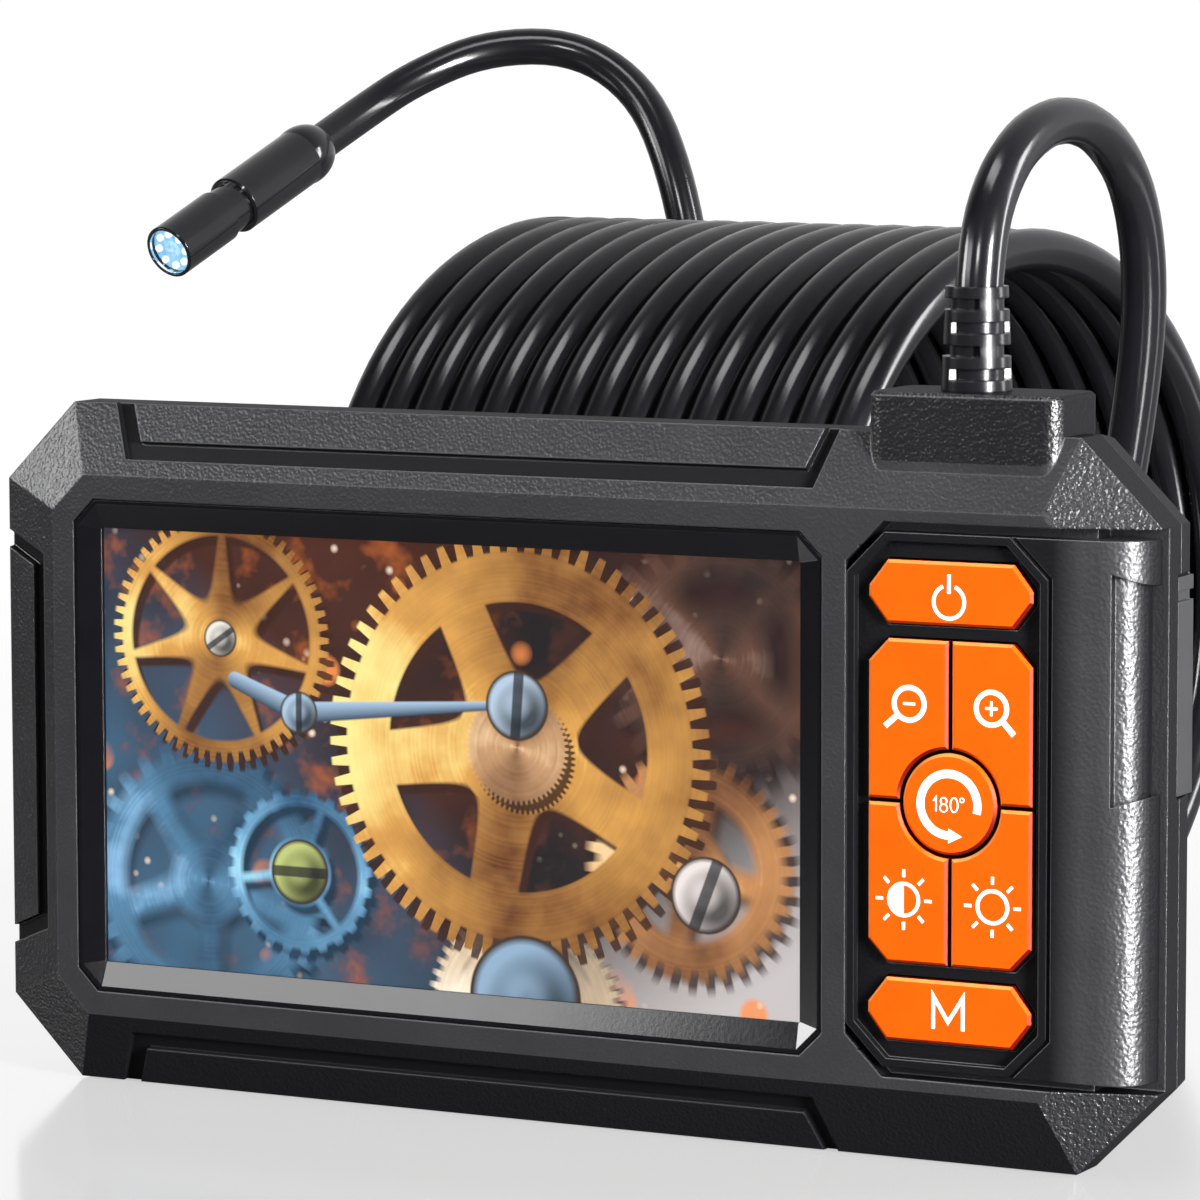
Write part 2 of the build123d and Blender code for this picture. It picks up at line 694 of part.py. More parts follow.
with BuildPart() as key_board:
    with BuildSketch(at_depth(key_board_front + board_thickness)):
        with Locations((recess_x, mid_z)):
            Rectangle(recess_width - 1, panel_height + 2 * key_board_lap)
        with Locations(*key_board_posts):
            Circle(0.8, mode=Mode.SUBTRACT)
    extrude(amount=board_thickness)
key_board.part.label = "key_board"
export_step(key_board.part, "parts/key_board.step")

with BuildPart() as key_switches:
    with BuildSketch(at_depth(key_board_front)):
        with Locations(*key_spots()):
            Circle(switch_radius)
    extrude(amount=switch_height)
key_switches.part.label = "key_switches"
export_step(key_switches.part, "parts/key_switches.step")

# ---- main board, battery and ports ------------------------------------------
with BuildPart() as main_board:
    with BuildSketch(at_depth(main_board_front + board_thickness)):
        with Locations((main_board_x, mid_z)):
            RectangleRounded(main_board_width, main_board_height, 2.0)
        with Locations(*board_holes):
            Circle(clear_radius, mode=Mode.SUBTRACT)
    extrude(amount=board_thickness)
main_board.part.label = "main_board"
export_step(main_board.part, "parts/main_board.step")

chips = {  # offset from the board's centre, width, height
    "processor": (-12, 6, 14, 14),
    "memory": (8, 8, 11, 8),
    "charger": (26, -16, 6, 6),
    "video": (-32, -12, 9, 9),
}
with BuildPart() as board_chips:
    with BuildSketch(at_depth(main_board_front)):
        for x, z, width, height in chips.values():
            with Locations((main_board_x + x, mid_z + z)):
                Rectangle(width, height)
    extrude(amount=1.2)
board_chips.part.label = "board_chips"
export_step(board_chips.part, "parts/board_chips.step")

with BuildPart() as cable_socket:
    with BuildSketch(at_depth(main_board_front)):
        with Locations((main_board_x + main_board_width / 2 - 11, mid_z + 20)):
            Rectangle(6, 12.5)
    extrude(amount=3.4)
    with BuildSketch(at_depth(main_board_front - 3.4)):
        with Locations((main_board_x + main_board_width / 2 - 11, mid_z + 20)):
            Rectangle(3.6, 10.5)
    extrude(amount=-2.4, mode=Mode.SUBTRACT)
cable_socket.part.label = "cable_socket"
export_step(cable_socket.part, "parts/cable_socket.step")

with BuildPart() as battery_pack:
    battery_width, battery_thickness, battery_height = battery_size
    with BuildSketch(at_depth(body_depth - back_wall - battery_gap)):
        with Locations((screen_x, mid_z)):
            RectangleRounded(battery_width, battery_height, 2.0)
    extrude(amount=battery_thickness)
    fillet(battery_pack.edges().filter_by(Axis.Y, reverse=True), 1.5)
battery_pack.part.label = "battery_pack"
export_step(battery_pack.part, "parts/battery_pack.step")

with BuildPart() as port_board:
    with BuildSketch(at_depth(port_board_front + board_thickness)):
        with Locations((port_board_left + port_board_width / 2, bay_mid)):
            Rectangle(port_board_width, 24.4)
        with Locations(*port_board_holes):
            Circle(clear_radius, mode=Mode.SUBTRACT)
    extrude(amount=board_thickness)
port_board.part.label = "port_board"
export_step(port_board.part, "parts/port_board.step")

usb_width, usb_height, usb_length = 8.94, 3.2, 7.3
card_width, card_height, card_length = 11.9, 1.9, 8.6
port_right = port_board_left + port_board_width + 0.4
usb_z = bay_mid + 6.4
card_z = bay_mid - 4.7
with BuildPart() as usb_port:
    usb_mouth = across(port_right, port_board_front - usb_height / 2, usb_z)
    with BuildSketch(usb_mouth):
        SlotOverall(usb_width, usb_height, rotation=90)
    extrude(amount=-usb_length)
    with BuildSketch(usb_mouth):
        SlotOverall(usb_width - 0.6, usb_height - 0.6, rotation=90)
        Rectangle(0.7, usb_width - 2.6, mode=Mode.SUBTRACT)
    extrude(amount=-usb_length + 1, mode=Mode.SUBTRACT)
usb_port.part.label = "usb_port"
export_step(usb_port.part, "parts/usb_port.step")

with BuildPart() as card_socket:
    card_mouth = across(port_right, port_board_front - card_height / 2, card_z)
    with BuildSketch(card_mouth):
        Rectangle(card_height, card_width)
    extrude(amount=-card_length)
    with BuildSketch(card_mouth):
        Rectangle(card_height - 0.9, card_width - 0.9)
    extrude(amount=-card_length + 1, mode=Mode.SUBTRACT)
card_socket.part.label = "card_socket"
export_step(card_socket.part, "parts/card_socket.step")

with BuildPart() as port_cover:
    cover_height = bay_height - 2 * cover_gap
    cover_outer = across(flank_x - 0.1, port_centre_depth, bay_mid)
    with BuildSketch(cover_outer):
        Rectangle(2 * (bay_half_depth - cover_gap), cover_height)
    extrude(amount=-cover_thickness)
    with BuildSketch(cover_outer.offset(-cover_thickness)):
        Rectangle(2 * bay_half_depth - 1.2 - 2 * cover_gap, bay_height - 3.2 - 3 * cover_gap)
    extrude(amount=-plug_height)
    # Finger groove near the free end.
    with BuildSketch(cover_outer):
        with Locations((0, cover_height / 2 - 2.2)):
            Rectangle(2 * (bay_half_depth - cover_gap), 1.2)
    extrude(amount=-0.5, mode=Mode.SUBTRACT)
port_cover.part.label = "port_cover"
export_step(port_cover.part, "parts/port_cover.step")


# ---- screws -----------------------------------------------------------------
# Pan-head screws with a cross recess: spots, seat depth, length below the head and
# the side that the head faces, -1 for the back and 1 for the front.
board_screw_length = board_thickness + 5
screw_sets = {
    "housing_screws": [(case_posts, screw_seat_depth, screw_seat_depth - screw_reach, -1)],
    "board_screws": [
        (board_holes, main_board_front, board_screw_length, 1),
        (port_board_holes, port_board_front, board_screw_length, 1),
    ],
}
for name, groups in screw_sets.items():
    with BuildPart() as screws:
        for spots, seat_depth, length, facing in groups:
            with BuildSketch(at_depth(seat_depth)):
                with Locations(*spots):
                    Circle(screw_head_radius)
            extrude(amount=facing * screw_head_height)
            with BuildSketch(at_depth(seat_depth)):
                with Locations(*spots):
                    Circle(screw_radius)
            extrude(amount=-facing * length)
            with BuildSketch(at_depth(seat_depth - facing * screw_head_height)):
                with Locations(*spots):
                    Rectangle(2.2, 0.5)
                    Rectangle(0.5, 2.2)
            extrude(amount=-facing * 0.8, mode=Mode.SUBTRACT)
    screws.part.label = name
    export_step(screws.part, f"parts/{name}.step")

with BuildPart() as key_board_screws:
    key_board_back = key_board_front + board_thickness
    with BuildSketch(at_depth(key_board_back)):
        with Locations(*key_board_posts):
            Circle(1.4)
    extrude(amount=-0.9)
    with BuildSketch(at_depth(key_board_back)):
        with Locations(*key_board_posts):
            Circle(0.6)
    extrude(amount=board_thickness + 1.8)
key_board_screws.part.label = "key_board_screws"
export_step(key_board_screws.part, "parts/key_board_screws.step")

# ---- strain relief ----------------------------------------------------------
with BuildPart() as strain_relief:
    relief_top = gland_top + relief_height
    with BuildSketch(relief_plane):
        with Locations((relief_x, relief_y)):
            Circle(relief_base_radius)
    with BuildSketch(Plane.XY.offset(relief_top)):
        with Locations((relief_x, relief_y)):
            Circle(relief_top_radius)
    loft()
    slot_height = relief_height / (2 * relief_rows + 1)
    for row in range(relief_rows):
        with BuildSketch(relief_plane.offset((2 * row + 1) * slot_height)):
            with Locations((relief_x, relief_y)):
                Circle(relief_base_radius + 1)
                Circle(relief_core_radius, mode=Mode.SUBTRACT)
                Rectangle(12, web, rotation=45 + 90 * row, mode=Mode.SUBTRACT)
        extrude(amount=slot_height, mode=Mode.SUBTRACT)
    flange_top = body_height - wall - relief_collar - 0.1
    with BuildSketch(relief_plane):
        with Locations((relief_x, relief_y)):
            Circle(relief_neck_radius)
    extrude(amount=-(gland_top - flange_top))
    with BuildSketch(Plane.XY.offset(flange_top)):
        with Locations((relief_x, relief_y)):
            Circle(relief_flange_radius)
    extrude(amount=-relief_flange)
    with BuildSketch(Plane.XY.offset(relief_top)):
        with Locations((relief_x, relief_y)):
            Circle(cable_diameter / 2 + relief_fit)
    extrude(amount=-(relief_height - relief_floor), mode=Mode.SUBTRACT)
strain_relief.part.label = "strain_relief"
export_step(strain_relief.part, "parts/strain_relief.step")

# ---- cable ------------------------------------------------------------------
cable_section = pi * (cable_diameter / 2) ** 2
tubes = {"cable_lead": lead_route, "cable_tail": tail_route}
for name, route in tubes.items():
    tube, radii, length = route_tube(route, cable_diameter / 2)
    tube.label = name
    export_step(tube, f"parts/{name}.step")
    print(name, "length", round(length, 1), "radii", [round(radius, 1) for radius in radii])
    print(name, "volume", round(tube.volume, 1), "section x length", round(cable_section * length, 1))

coil_length = coil_turns * coil_pitch
axis_direction = Vector(cos(radians(coil_turned)), sin(radians(coil_turned)), 0)
with BuildPart() as cable_coil:
    coil_plane = Plane(origin=Vector(*coil_end) + axis_direction * coil_overlap,
                       z_dir=axis_direction)
    with BuildSketch(coil_plane):
        Circle(coil_radius)
        Circle(coil_radius - cable_diameter, mode=Mode.SUBTRACT)
    extrude(amount=-(coil_length + coil_overlap + cable_diameter / 4))
cable_coil.part.label = "cable_coil"
export_step(cable_coil.part, "parts/cable_coil.step")
coil_cable = coil_turns * 2 * pi * (coil_radius - cable_diameter / 2)
print("cable in the coil", round(coil_cable), "mm")

# ---- camera head ------------------------------------------------------------
tail_end = Vector(*tail_route[-1])
head_axis = (tail_end - Vector(*tail_route[-2])).normalized()
head_length = ferrule_length + neck_length + barrel_length


def head_plane(distance):
    """A plane across the head, a distance forward of the ferrule's rear end."""
    return Plane(origin=tail_end + head_axis * distance, z_dir=head_axis)


profile_plane = Plane(origin=tail_end, x_dir=head_axis, z_dir=head_axis.cross(Vector(0, 0, 1)))
neck_start = ferrule_length
barrel_start = ferrule_length + neck_length

with BuildPart() as head_ferrule:
    with BuildSketch(profile_plane):
        with BuildLine():
            Line((0, 0), (0, cable_diameter / 2))
            ThreePointArc((0, cable_diameter / 2), (ferrule_round * 0.3, ferrule_radius * 0.9),
                          (ferrule_round, ferrule_radius))
            Polyline((ferrule_round, ferrule_radius), (neck_start - 0.3, ferrule_radius),
                     (neck_start, ferrule_radius - 0.3), (neck_start, neck_radius),
                     (barrel_start, neck_radius), (barrel_start, barrel_bore - spigot_gap),
                     (barrel_start + spigot_length, barrel_bore - spigot_gap),
                     (barrel_start + spigot_length, 0), (0, 0))
        make_face()
    revolve(axis=Axis(tail_end, head_axis))
head_ferrule.part.label = "head_ferrule"
export_step(head_ferrule.part, "parts/head_ferrule.step")

with BuildPart() as head_barrel:
    with BuildSketch(head_plane(barrel_start)):
        Circle(barrel_radius)
        Circle(barrel_bore, mode=Mode.SUBTRACT)
    extrude(amount=barrel_length)
    chamfer(head_barrel.edges().filter_by(GeomType.CIRCLE).filter_by(
        lambda edge: abs(edge.radius - barrel_radius) < 1e-3), 0.2)
head_barrel.part.label = "head_barrel"
export_step(head_barrel.part, "parts/head_barrel.step")

window_back = head_length - lens_window_inset - lens_window_thickness
led_front = window_back - head_gap
board_front = led_front - led_height
with BuildPart() as head_window:
    with BuildSketch(head_plane(window_back)):
        Circle(barrel_bore - spigot_gap)
    extrude(amount=lens_window_thickness)
head_window.part.label = "head_window"
export_step(head_window.part, "parts/head_window.step")

with BuildPart() as head_leds:
    with BuildSketch(head_plane(board_front)):
        with PolarLocations(led_ring, led_count):
            Circle(led_radius)
    extrude(amount=led_height)
head_leds.part.label = "head_leds"
export_step(head_leds.part, "parts/head_leds.step")

with BuildPart() as head_board:
    with BuildSketch(head_plane(board_front)):
        Circle(barrel_bore - spigot_gap)
        Circle(lens_radius + spigot_gap, mode=Mode.SUBTRACT)
    extrude(amount=-head_board_thickness)
head_board.part.label = "head_board"
export_step(head_board.part, "parts/head_board.step")

with BuildPart() as head_lens:
    with BuildSketch(head_plane(led_front)):
        Circle(lens_radius)
    extrude(amount=-lens_length)
head_lens.part.label = "head_lens"
export_step(head_lens.part, "parts/head_lens.step")

with BuildPart() as image_sensor:
    with BuildSketch(head_plane(led_front - lens_length - head_gap)):
        Rectangle(3.6, 3.6)
    extrude(amount=-1.0)
image_sensor.part.label = "image_sensor"
export_step(image_sensor.part, "parts/image_sensor.step")
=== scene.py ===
# Looks of a handheld inspection camera: case, keys, display, cable and camera head.
from math import cos, radians, sin

import bmesh
import bpy
import numpy as np
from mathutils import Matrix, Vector


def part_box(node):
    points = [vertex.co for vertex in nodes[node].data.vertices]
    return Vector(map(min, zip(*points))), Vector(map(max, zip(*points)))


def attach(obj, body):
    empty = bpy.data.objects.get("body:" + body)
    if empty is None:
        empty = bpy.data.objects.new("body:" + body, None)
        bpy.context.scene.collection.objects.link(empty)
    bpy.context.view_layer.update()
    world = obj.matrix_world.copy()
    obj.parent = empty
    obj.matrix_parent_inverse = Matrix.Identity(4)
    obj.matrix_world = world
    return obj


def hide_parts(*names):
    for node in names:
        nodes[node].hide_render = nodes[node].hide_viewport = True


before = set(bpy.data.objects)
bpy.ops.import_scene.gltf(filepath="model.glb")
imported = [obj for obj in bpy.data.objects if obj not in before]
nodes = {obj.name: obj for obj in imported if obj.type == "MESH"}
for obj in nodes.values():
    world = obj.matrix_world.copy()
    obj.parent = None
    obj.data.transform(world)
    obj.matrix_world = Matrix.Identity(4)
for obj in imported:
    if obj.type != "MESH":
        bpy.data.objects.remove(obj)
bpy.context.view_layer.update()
mm = 0.001

# Places on the case, in millimetres.
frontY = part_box("front_housing")[0].y / mm
screenLow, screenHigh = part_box("display_window")
screenX = (screenLow.x + screenHigh.x) / 2 / mm
midZ = (screenLow.z + screenHigh.z) / 2 / mm
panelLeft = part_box("grip_panel")[0].x / mm

cameraView = {
    "place": (316.7, -606.2, 134.0),
    "target": (7.77, -13.5, 63.51),
    "lens": 172.2,
    "sensor": 36,
    "roll": -0.12,      # degrees about the line of sight
}


def makeCamera(view):
    data = bpy.data.cameras.new("studio_camera")
    data.lens = view["lens"]
    data.sensor_width = view["sensor"]
    camera = bpy.data.objects.new("studio_camera", data)
    bpy.context.scene.collection.objects.link(camera)
    place = Vector(view["place"]) * mm
    look = Vector(view["target"]) * mm - place
    camera.location = place
    turn = look.to_track_quat("-Z", "Y").to_matrix().to_4x4()
    camera.rotation_euler = turn.to_euler()
    camera.rotation_euler.rotate_axis("Z", radians(view["roll"]))
    bpy.context.scene.camera = camera


makeCamera(cameraView)
print("camera placed")


# Cable: lead, coil and tail in one line.
cable = {
    "diameter": 5.5,
    "length": 5.0,              # metres
    "lead": [
        (52.2, -5.5, 90.0), (52.2, -5.5, 104.0), (52.3, 0.8, 114.2), (53.2, 11.6, 119.6),
        (54.3, 24.1, 118.8), (55.0, 34.8, 111.4), (54.4, 40.4, 98.4), (51.8, 43.0, 82.6),
        (48.0, 44.5, 65.5), (42.0, 45.2, 47.0), (34.5, 50.0, 29.5), (27.5, 61.5, 14.8),
        (22.5, 78.0, 6.0), (19.7, 97.3, 2.2), (18.8, 116.7, 6.0),
    ],
    "tail": [
        (-61.0, 159.7, 51.5), (-61.8, 160.0, 71.0), (-65.2, 158.2, 90.0), (-69.2, 159.4, 107.0),
        (-76.3, 162.3, 119.5), (-87.5, 162.0, 126.3), (-99.5, 156.0, 126.2),
        (-107.6, 147.8, 121.6), (-111.9, 139.9, 116.6), (-113.6, 130.0, 112.2),
    ],
    "turnPoints": 16,           # control points in one turn
    "coilPoints": 242,
    "firstAngle": -67.5,
    "firstShift": 1.4,          # along the coil's axis, from its right end
    "pitch": 5.6,
    "radius": 49.65,
    "end": (14.6, 98.1, 51.5),  # centre of the coil's right end
    "turned": -8.5,             # degrees about the vertical
    "sides": 5,                 # bevel resolution
    "steps": 6,                 # between two control points
}


def cablePoints(spec):
    # The coil is a helix: round by a fixed angle and along by a share of the pitch at each point.
    step = np.arange(1, spec["coilPoints"] + 1)
    angle = np.radians(spec["firstAngle"] + 360 / spec["turnPoints"] * step)
    along = spec["firstShift"] - spec["pitch"] * step / spec["turnPoints"]
    turned = radians(spec["turned"])
    axis = np.array([cos(turned), sin(turned), 0])
    across = np.array([-sin(turned), cos(turned), 0])
    up = np.array([0, 0, 1])
    ring = np.cos(angle)[:, None] * across + np.sin(angle)[:, None] * up
    coil = np.array(spec["end"]) + along[:, None] * axis + spec["radius"] * ring
    return np.vstack([spec["lead"], coil, spec["tail"]]) * mm


def makeCable(spec):
    points = cablePoints(spec)
    curve = bpy.data.curves.new("cable", "CURVE")
    curve.dimensions = "3D"
    curve.bevel_depth = 1.0     # scaled by the points' radius, which the curve's own box adds
    curve.bevel_resolution = spec["sides"]
    curve.resolution_u = spec["steps"]
    curve.use_fill_caps = True
    spline = curve.splines.new("NURBS")
    spline.points.add(len(points) - 1)
    spline.points.foreach_set("co", np.c_[points, np.ones(len(points))].ravel())
    spline.points.foreach_set("radius", np.full(len(points), spec["diameter"] / 2 * mm))
    spline.order_u = 3
    spline.use_endpoint_u = True
    piece = bpy.data.objects.new("cable", curve)
    bpy.context.scene.collection.objects.link(piece)
    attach(piece, "root")
    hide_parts("cable_lead", "cable_coil", "cable_tail")
    return piece


cablePiece = makeCable(cable)
print("cable laid")


# One socket of a shader with the usual operators.
class Socket:
    def __init__(self, tree, socket):
        self.tree = tree
        self.socket = socket

    def math(self, operation, *others, clamp=False):
        node = self.tree.nodes.new("ShaderNodeMath")
        node.operation = operation
        node.use_clamp = clamp
        for place, value in zip(node.inputs, (self,) + others):
            join(self.tree, value, place)
        return Socket(self.tree, node.outputs[0])

    def __add__(self, other):
        return self.math("ADD", other)

    def __radd__(self, other):
        return self.math("ADD", other)

    def __sub__(self, other):
        return self.math("SUBTRACT", other)

    def __rsub__(self, other):
        return (self * -1) + other

    def __mul__(self, other):
        return self.math("MULTIPLY", other)

    def __rmul__(self, other):
        return self.math("MULTIPLY", other)

    def __truediv__(self, other):
        return self.math("DIVIDE", other)

    def __abs__(self):
        return self.math("ABSOLUTE")

    def __gt__(self, other):
        return self.math("GREATER_THAN", other)

    def __lt__(self, other):
        return self.math("LESS_THAN", other)

    def high(self, other):
        return self.math("MAXIMUM", other)

    def sine(self):
        return self.math("SINE")

    def root(self):
        return self.math("SQRT")

    def step(self, start, end):
        # 0 below start, 1 above end, a straight ramp between
        return (self - start).math("MULTIPLY", 1 / (end - start), clamp=True)


def join(tree, value, place):
    if isinstance(value, Socket):
        tree.links.new(value.socket, place)
    else:
        place.default_value = value


def opaque(value):
    # a colour of three numbers gets its fourth
    return value + (1,) if isinstance(value, tuple) and len(value) == 3 else value


class Finish:
    # One material with its nodes.
    def __init__(self, name):
        self.material = bpy.data.materials.new(name)
        self.material.use_nodes = True
        self.tree = self.material.node_tree
        self.tree.nodes.clear()
        self.end = self.tree.nodes.new("ShaderNodeOutputMaterial")

    def node(self, kind, settings=None, values=None, output=0):
        node = self.tree.nodes.new(kind)
        for key, value in (settings or {}).items():
            setattr(node, key, value)
        for key, value in (values or {}).items():
            join(self.tree, value, node.inputs[key])
        return Socket(self.tree, node.outputs[output])

    def place(self):
        # Object coordinates in millimetres
        coords = self.node("ShaderNodeTexCoord", output="Object")
        return self.node("ShaderNodeVectorMath", {"operation": "SCALE"},
                         {0: coords, "Scale": 1 / mm})

    def axes(self, vector):
        split = self.tree.nodes.new("ShaderNodeSeparateXYZ")
        join(self.tree, vector, split.inputs[0])
        return [Socket(self.tree, output) for output in split.outputs]

    def noise(self, place, size, detail=2.0, roughness=0.5):
        # size is the width of one blotch, in millimetres
        return self.node("ShaderNodeTexNoise", None,
                         {"Vector": place, "Scale": 1 / size, "Detail": detail,
                          "Roughness": roughness})

    def cells(self, place, size, feature="F1"):
        return self.node("ShaderNodeTexVoronoi", {"feature": feature},
                         {"Vector": place, "Scale": 1 / size}, "Distance")

    def mix(self, share, first, second):
        node = self.tree.nodes.new("ShaderNodeMix")
        node.data_type = "RGBA"
        for key, value in ((0, share), (6, first), (7, second)):
            join(self.tree, opaque(value), node.inputs[key])
        return Socket(self.tree, node.outputs[2])

    def bump(self, height, depth, normal=None):
        # depth is the height of a full step, in millimetres
        values = {"Height": height, "Strength": 1.0, "Distance": depth * mm}
        if normal is not None:
            values["Normal"] = normal
        return self.node("ShaderNodeBump", None, values)

    def softEdge(self, radius):
        # normals rounded over the sharp edges of a moulded piece
        return self.node("ShaderNodeBevel", {"samples": 6}, {"Radius": radius * mm})

    def overlay(self, share, **values):
        # a second finish over the first, where share is 1
        under = self.end.inputs[0].links[0].from_socket
        self.shade(**values)
        over = self.end.inputs[0].links[0].from_socket
        blend = self.tree.nodes.new("ShaderNodeMixShader")
        join(self.tree, share, blend.inputs[0])
        self.tree.links.new(under, blend.inputs[1])
        self.tree.links.new(over, blend.inputs[2])
        self.tree.links.new(blend.outputs[0], self.end.inputs[0])
        return self.material

    def shade(self, **values):
        shader = self.tree.nodes.new("ShaderNodeBsdfPrincipled")
        names = {
            "base": "Base Color", "rough": "Roughness", "metal": "Metallic", "coat": "Coat Weight",
            "coatRough": "Coat Roughness", "specular": "Specular IOR Level", "ior": "IOR",
            "normal": "Normal", "glow": "Emission Color", "glowPower": "Emission Strength",
            "clear": "Transmission Weight",
        }
        for key, value in values.items():
            join(self.tree, opaque(value), shader.inputs[names[key]])
        self.tree.links.new(shader.outputs[0], self.end.inputs[0])
        return self.material


def paint(names, material):
    for name in names:
        piece = nodes[name]
        if not piece.material_slots:
            piece.data.materials.append(None)
        for slot in piece.material_slots:
            slot.link = "OBJECT"
            slot.material = material


# Moulded plastics. Sizes in millimetres; light is the paler tone that clouds the base.
shell = {
    "base": (0.015, 0.015, 0.017),
    "light": (0.023, 0.023, 0.025),
    # near black: painted shade on the flanks and lower slope, also the colour of the cable boss
    "shade": (0.005, 0.005, 0.006),
    # painted highlight on the forward ridges that face the upper left
    "ridgeHighlight": (0.11, 0.11, 0.115),
    "grain": 0.26,
    "grainDepth": 0.08,
    "coarse": 0.50,
    "coarseDepth": 0.42,
    "rough": 0.30,
    "specular": 0.42,
    "edge": 0.35,
    "channel": (0.010, 0.010, 0.011),
    "channelDepth": (0.25, 0.5),  # below the bevel, where the polish starts and is full
    "channelReach": 8.5,          # from the ridge outward
    "channelTop": (-63, 39),      # ends of the upper and lower channels
    "channelSide": 27,            # half length of the side channel
    "bossRise": 0.5,              # what stands this far off the bevel is the cable boss
    "ridge": (68.15, 33.5),       # half width and half height of the front plane
    "bevelSlope": 0.416,
    "tilt": 0.22,                 # sideways lean of a face that makes it a corner facet
}
grip = {
    "base": (0.018, 0.018, 0.020),
    "light": (0.027, 0.027, 0.029),
    "black": (0.004, 0.004, 0.005),
    # the shell's painted ridge highlight
    "ridgeHighlight": shell["ridgeHighlight"],
    "keypad": 25.0,               # width of the black keypad, from the panel's left edge
    "fade": (0.5, 4),             # where the black fades out, past the keypad
    "grain": shell["grain"],
    "grainDepth": shell["grainDepth"] * 1.35,
    "rough": shell["rough"] + 0.03,
    "edge": shell["edge"] * 0.6,
}


def paintedRidgeHighlight(finish, facing, rounded):
    # Painted highlight: 1 on the thin line where the rounded normal leaves the face's own, on
    # forward ridges that face the upper left
    apart = finish.node("ShaderNodeVectorMath", {"operation": "DISTANCE"},
                        {0: facing, 1: rounded}, "Value")
    bx, by, bz = finish.axes(rounded)
    return apart.step(0.12, 0.3) * (by < -0.5) * (bz - bx).step(-0.3, 0.5)


def shellPlastic(name, spec, channels):
    # Fine spark-eroded grain, coarse leather grain on the right corners, polished channels.
    finish = Finish(name)
    place = finish.place()
    x, y, z = finish.axes(place)
    fine = finish.noise(place, spec["grain"], 2.0, 0.5)
    cells = finish.cells(place, spec["grain"] * 1.5, "SMOOTH_F1")
    coarse = finish.noise(place, spec["coarse"], 2.0, 0.45)
    grain = fine * 0.3 + cells * 0.8
    rise = abs(z - midZ)
    facing = finish.node("ShaderNodeNewGeometry", output="True Normal")
    rounded = finish.softEdge(spec["edge"])
    nx, ny, nz = finish.axes(facing)
    corner = (nx > spec["tilt"]) * (abs(nz) > spec["tilt"]) * (ny < -0.2)
    height = grain * (1 - corner) + coarse * corner * (spec["coarseDepth"] / spec["grainDepth"])
    blotch = finish.noise(place, 9.0, 3.0)
    base = finish.mix(blotch, spec["base"], spec["light"])
    rough = blotch * 0.10 + (spec["rough"] - 0.05) + fine * 0.06
    ridgeHighlight = paintedRidgeHighlight(finish, facing, rounded)
    if channels:
        ridgeX, ridgeZ = spec["ridge"]
        outward = (rise - ridgeZ).high(abs(x) - ridgeX)
        deeper = (y - frontY) - outward * spec["bevelSlope"]
        topStart, topEnd = spec["channelTop"]
        inTop = (rise > ridgeZ + 1) * (x > topStart) * (x < topEnd)
        inSide = (x < -ridgeX - 1) * (rise < spec["channelSide"])
        channel = deeper.step(*spec["channelDepth"]) * (outward < spec["channelReach"])
        channel = channel * inTop.high(inSide)
        proud = (deeper < -spec["bossRise"]) * (outward > 1)
        height = height * (1 - channel) * (proud * 0.6 + 1)
        rough = rough * (1 - channel * 0.55)
        base = finish.mix(channel, base, spec["channel"])
        base = finish.mix(proud, base, spec["shade"])
        ridgeHighlight = ridgeHighlight * (1 - channel)
    # Painted highlight: a pale line along the forward ridges that face the upper left.
    base = finish.mix(ridgeHighlight * 0.8, base, spec["ridgeHighlight"])
    normal = finish.bump(height, spec["grainDepth"], rounded)
    finish.shade(base=base, rough=rough, specular=spec["specular"], normal=normal)
    # Painted shade: the flanks and the lower slope are given a near-black base and a dull finish.
    flank = (0.45 - abs(ny)).step(0.0, 0.2)
    under = (nz < -0.25) * (abs(nx) < 0.2) * 0.9
    return finish.overlay(flank.high(under), base=spec["shade"], rough=0.5, specular=0.07,
                          normal=normal)


def gripPlastic(name, spec):
    # The grip panel: the shell's grain, a little coarser, and near black where the keys lie.
    finish = Finish(name)
    place = finish.place()
    x = finish.axes(place)[0]
    coarse = finish.noise(place, spec["grain"] * 1.2, 2.0, 0.5)
    cells = finish.cells(place, spec["grain"] * 1.8, "SMOOTH_F1")
    keypadEnd = panelLeft + spec["keypad"]
    fadeStart, fadeEnd = spec["fade"]
    sunk = 1 - x.step(keypadEnd + fadeStart, keypadEnd + fadeEnd)
    height = (coarse * 0.4 + cells * 0.8) * (1 - sunk * 0.5)
    blotch = finish.noise(place, 7.0, 3.0)
    facing = finish.node("ShaderNodeNewGeometry", output="True Normal")
    rounded = finish.softEdge(spec["edge"])
    base = finish.mix(blotch, spec["base"], spec["light"])
    ridgeHighlight = paintedRidgeHighlight(finish, facing, rounded)
    # Painted highlight: a pale line along the forward ridges that face the upper left.
    base = finish.mix(ridgeHighlight, base, spec["ridgeHighlight"])
    rough = blotch * 0.08 + spec["rough"]
    normal = finish.bump(height, spec["grainDepth"], rounded)
    finish.shade(base=base, rough=rough, specular=0.5, normal=normal)
    # The near-black parts keep the painted ridge highlight.
    black = finish.mix(ridgeHighlight, spec["black"], spec["ridgeHighlight"])
    # Painted shade: the panel's own flank, past the roll, is near black and dull too.
    dark = sunk.high((finish.axes(facing)[0] - 0.75).step(0.0, 0.2))
    return finish.overlay(dark, base=black, rough=0.5, specular=0.10, normal=normal)


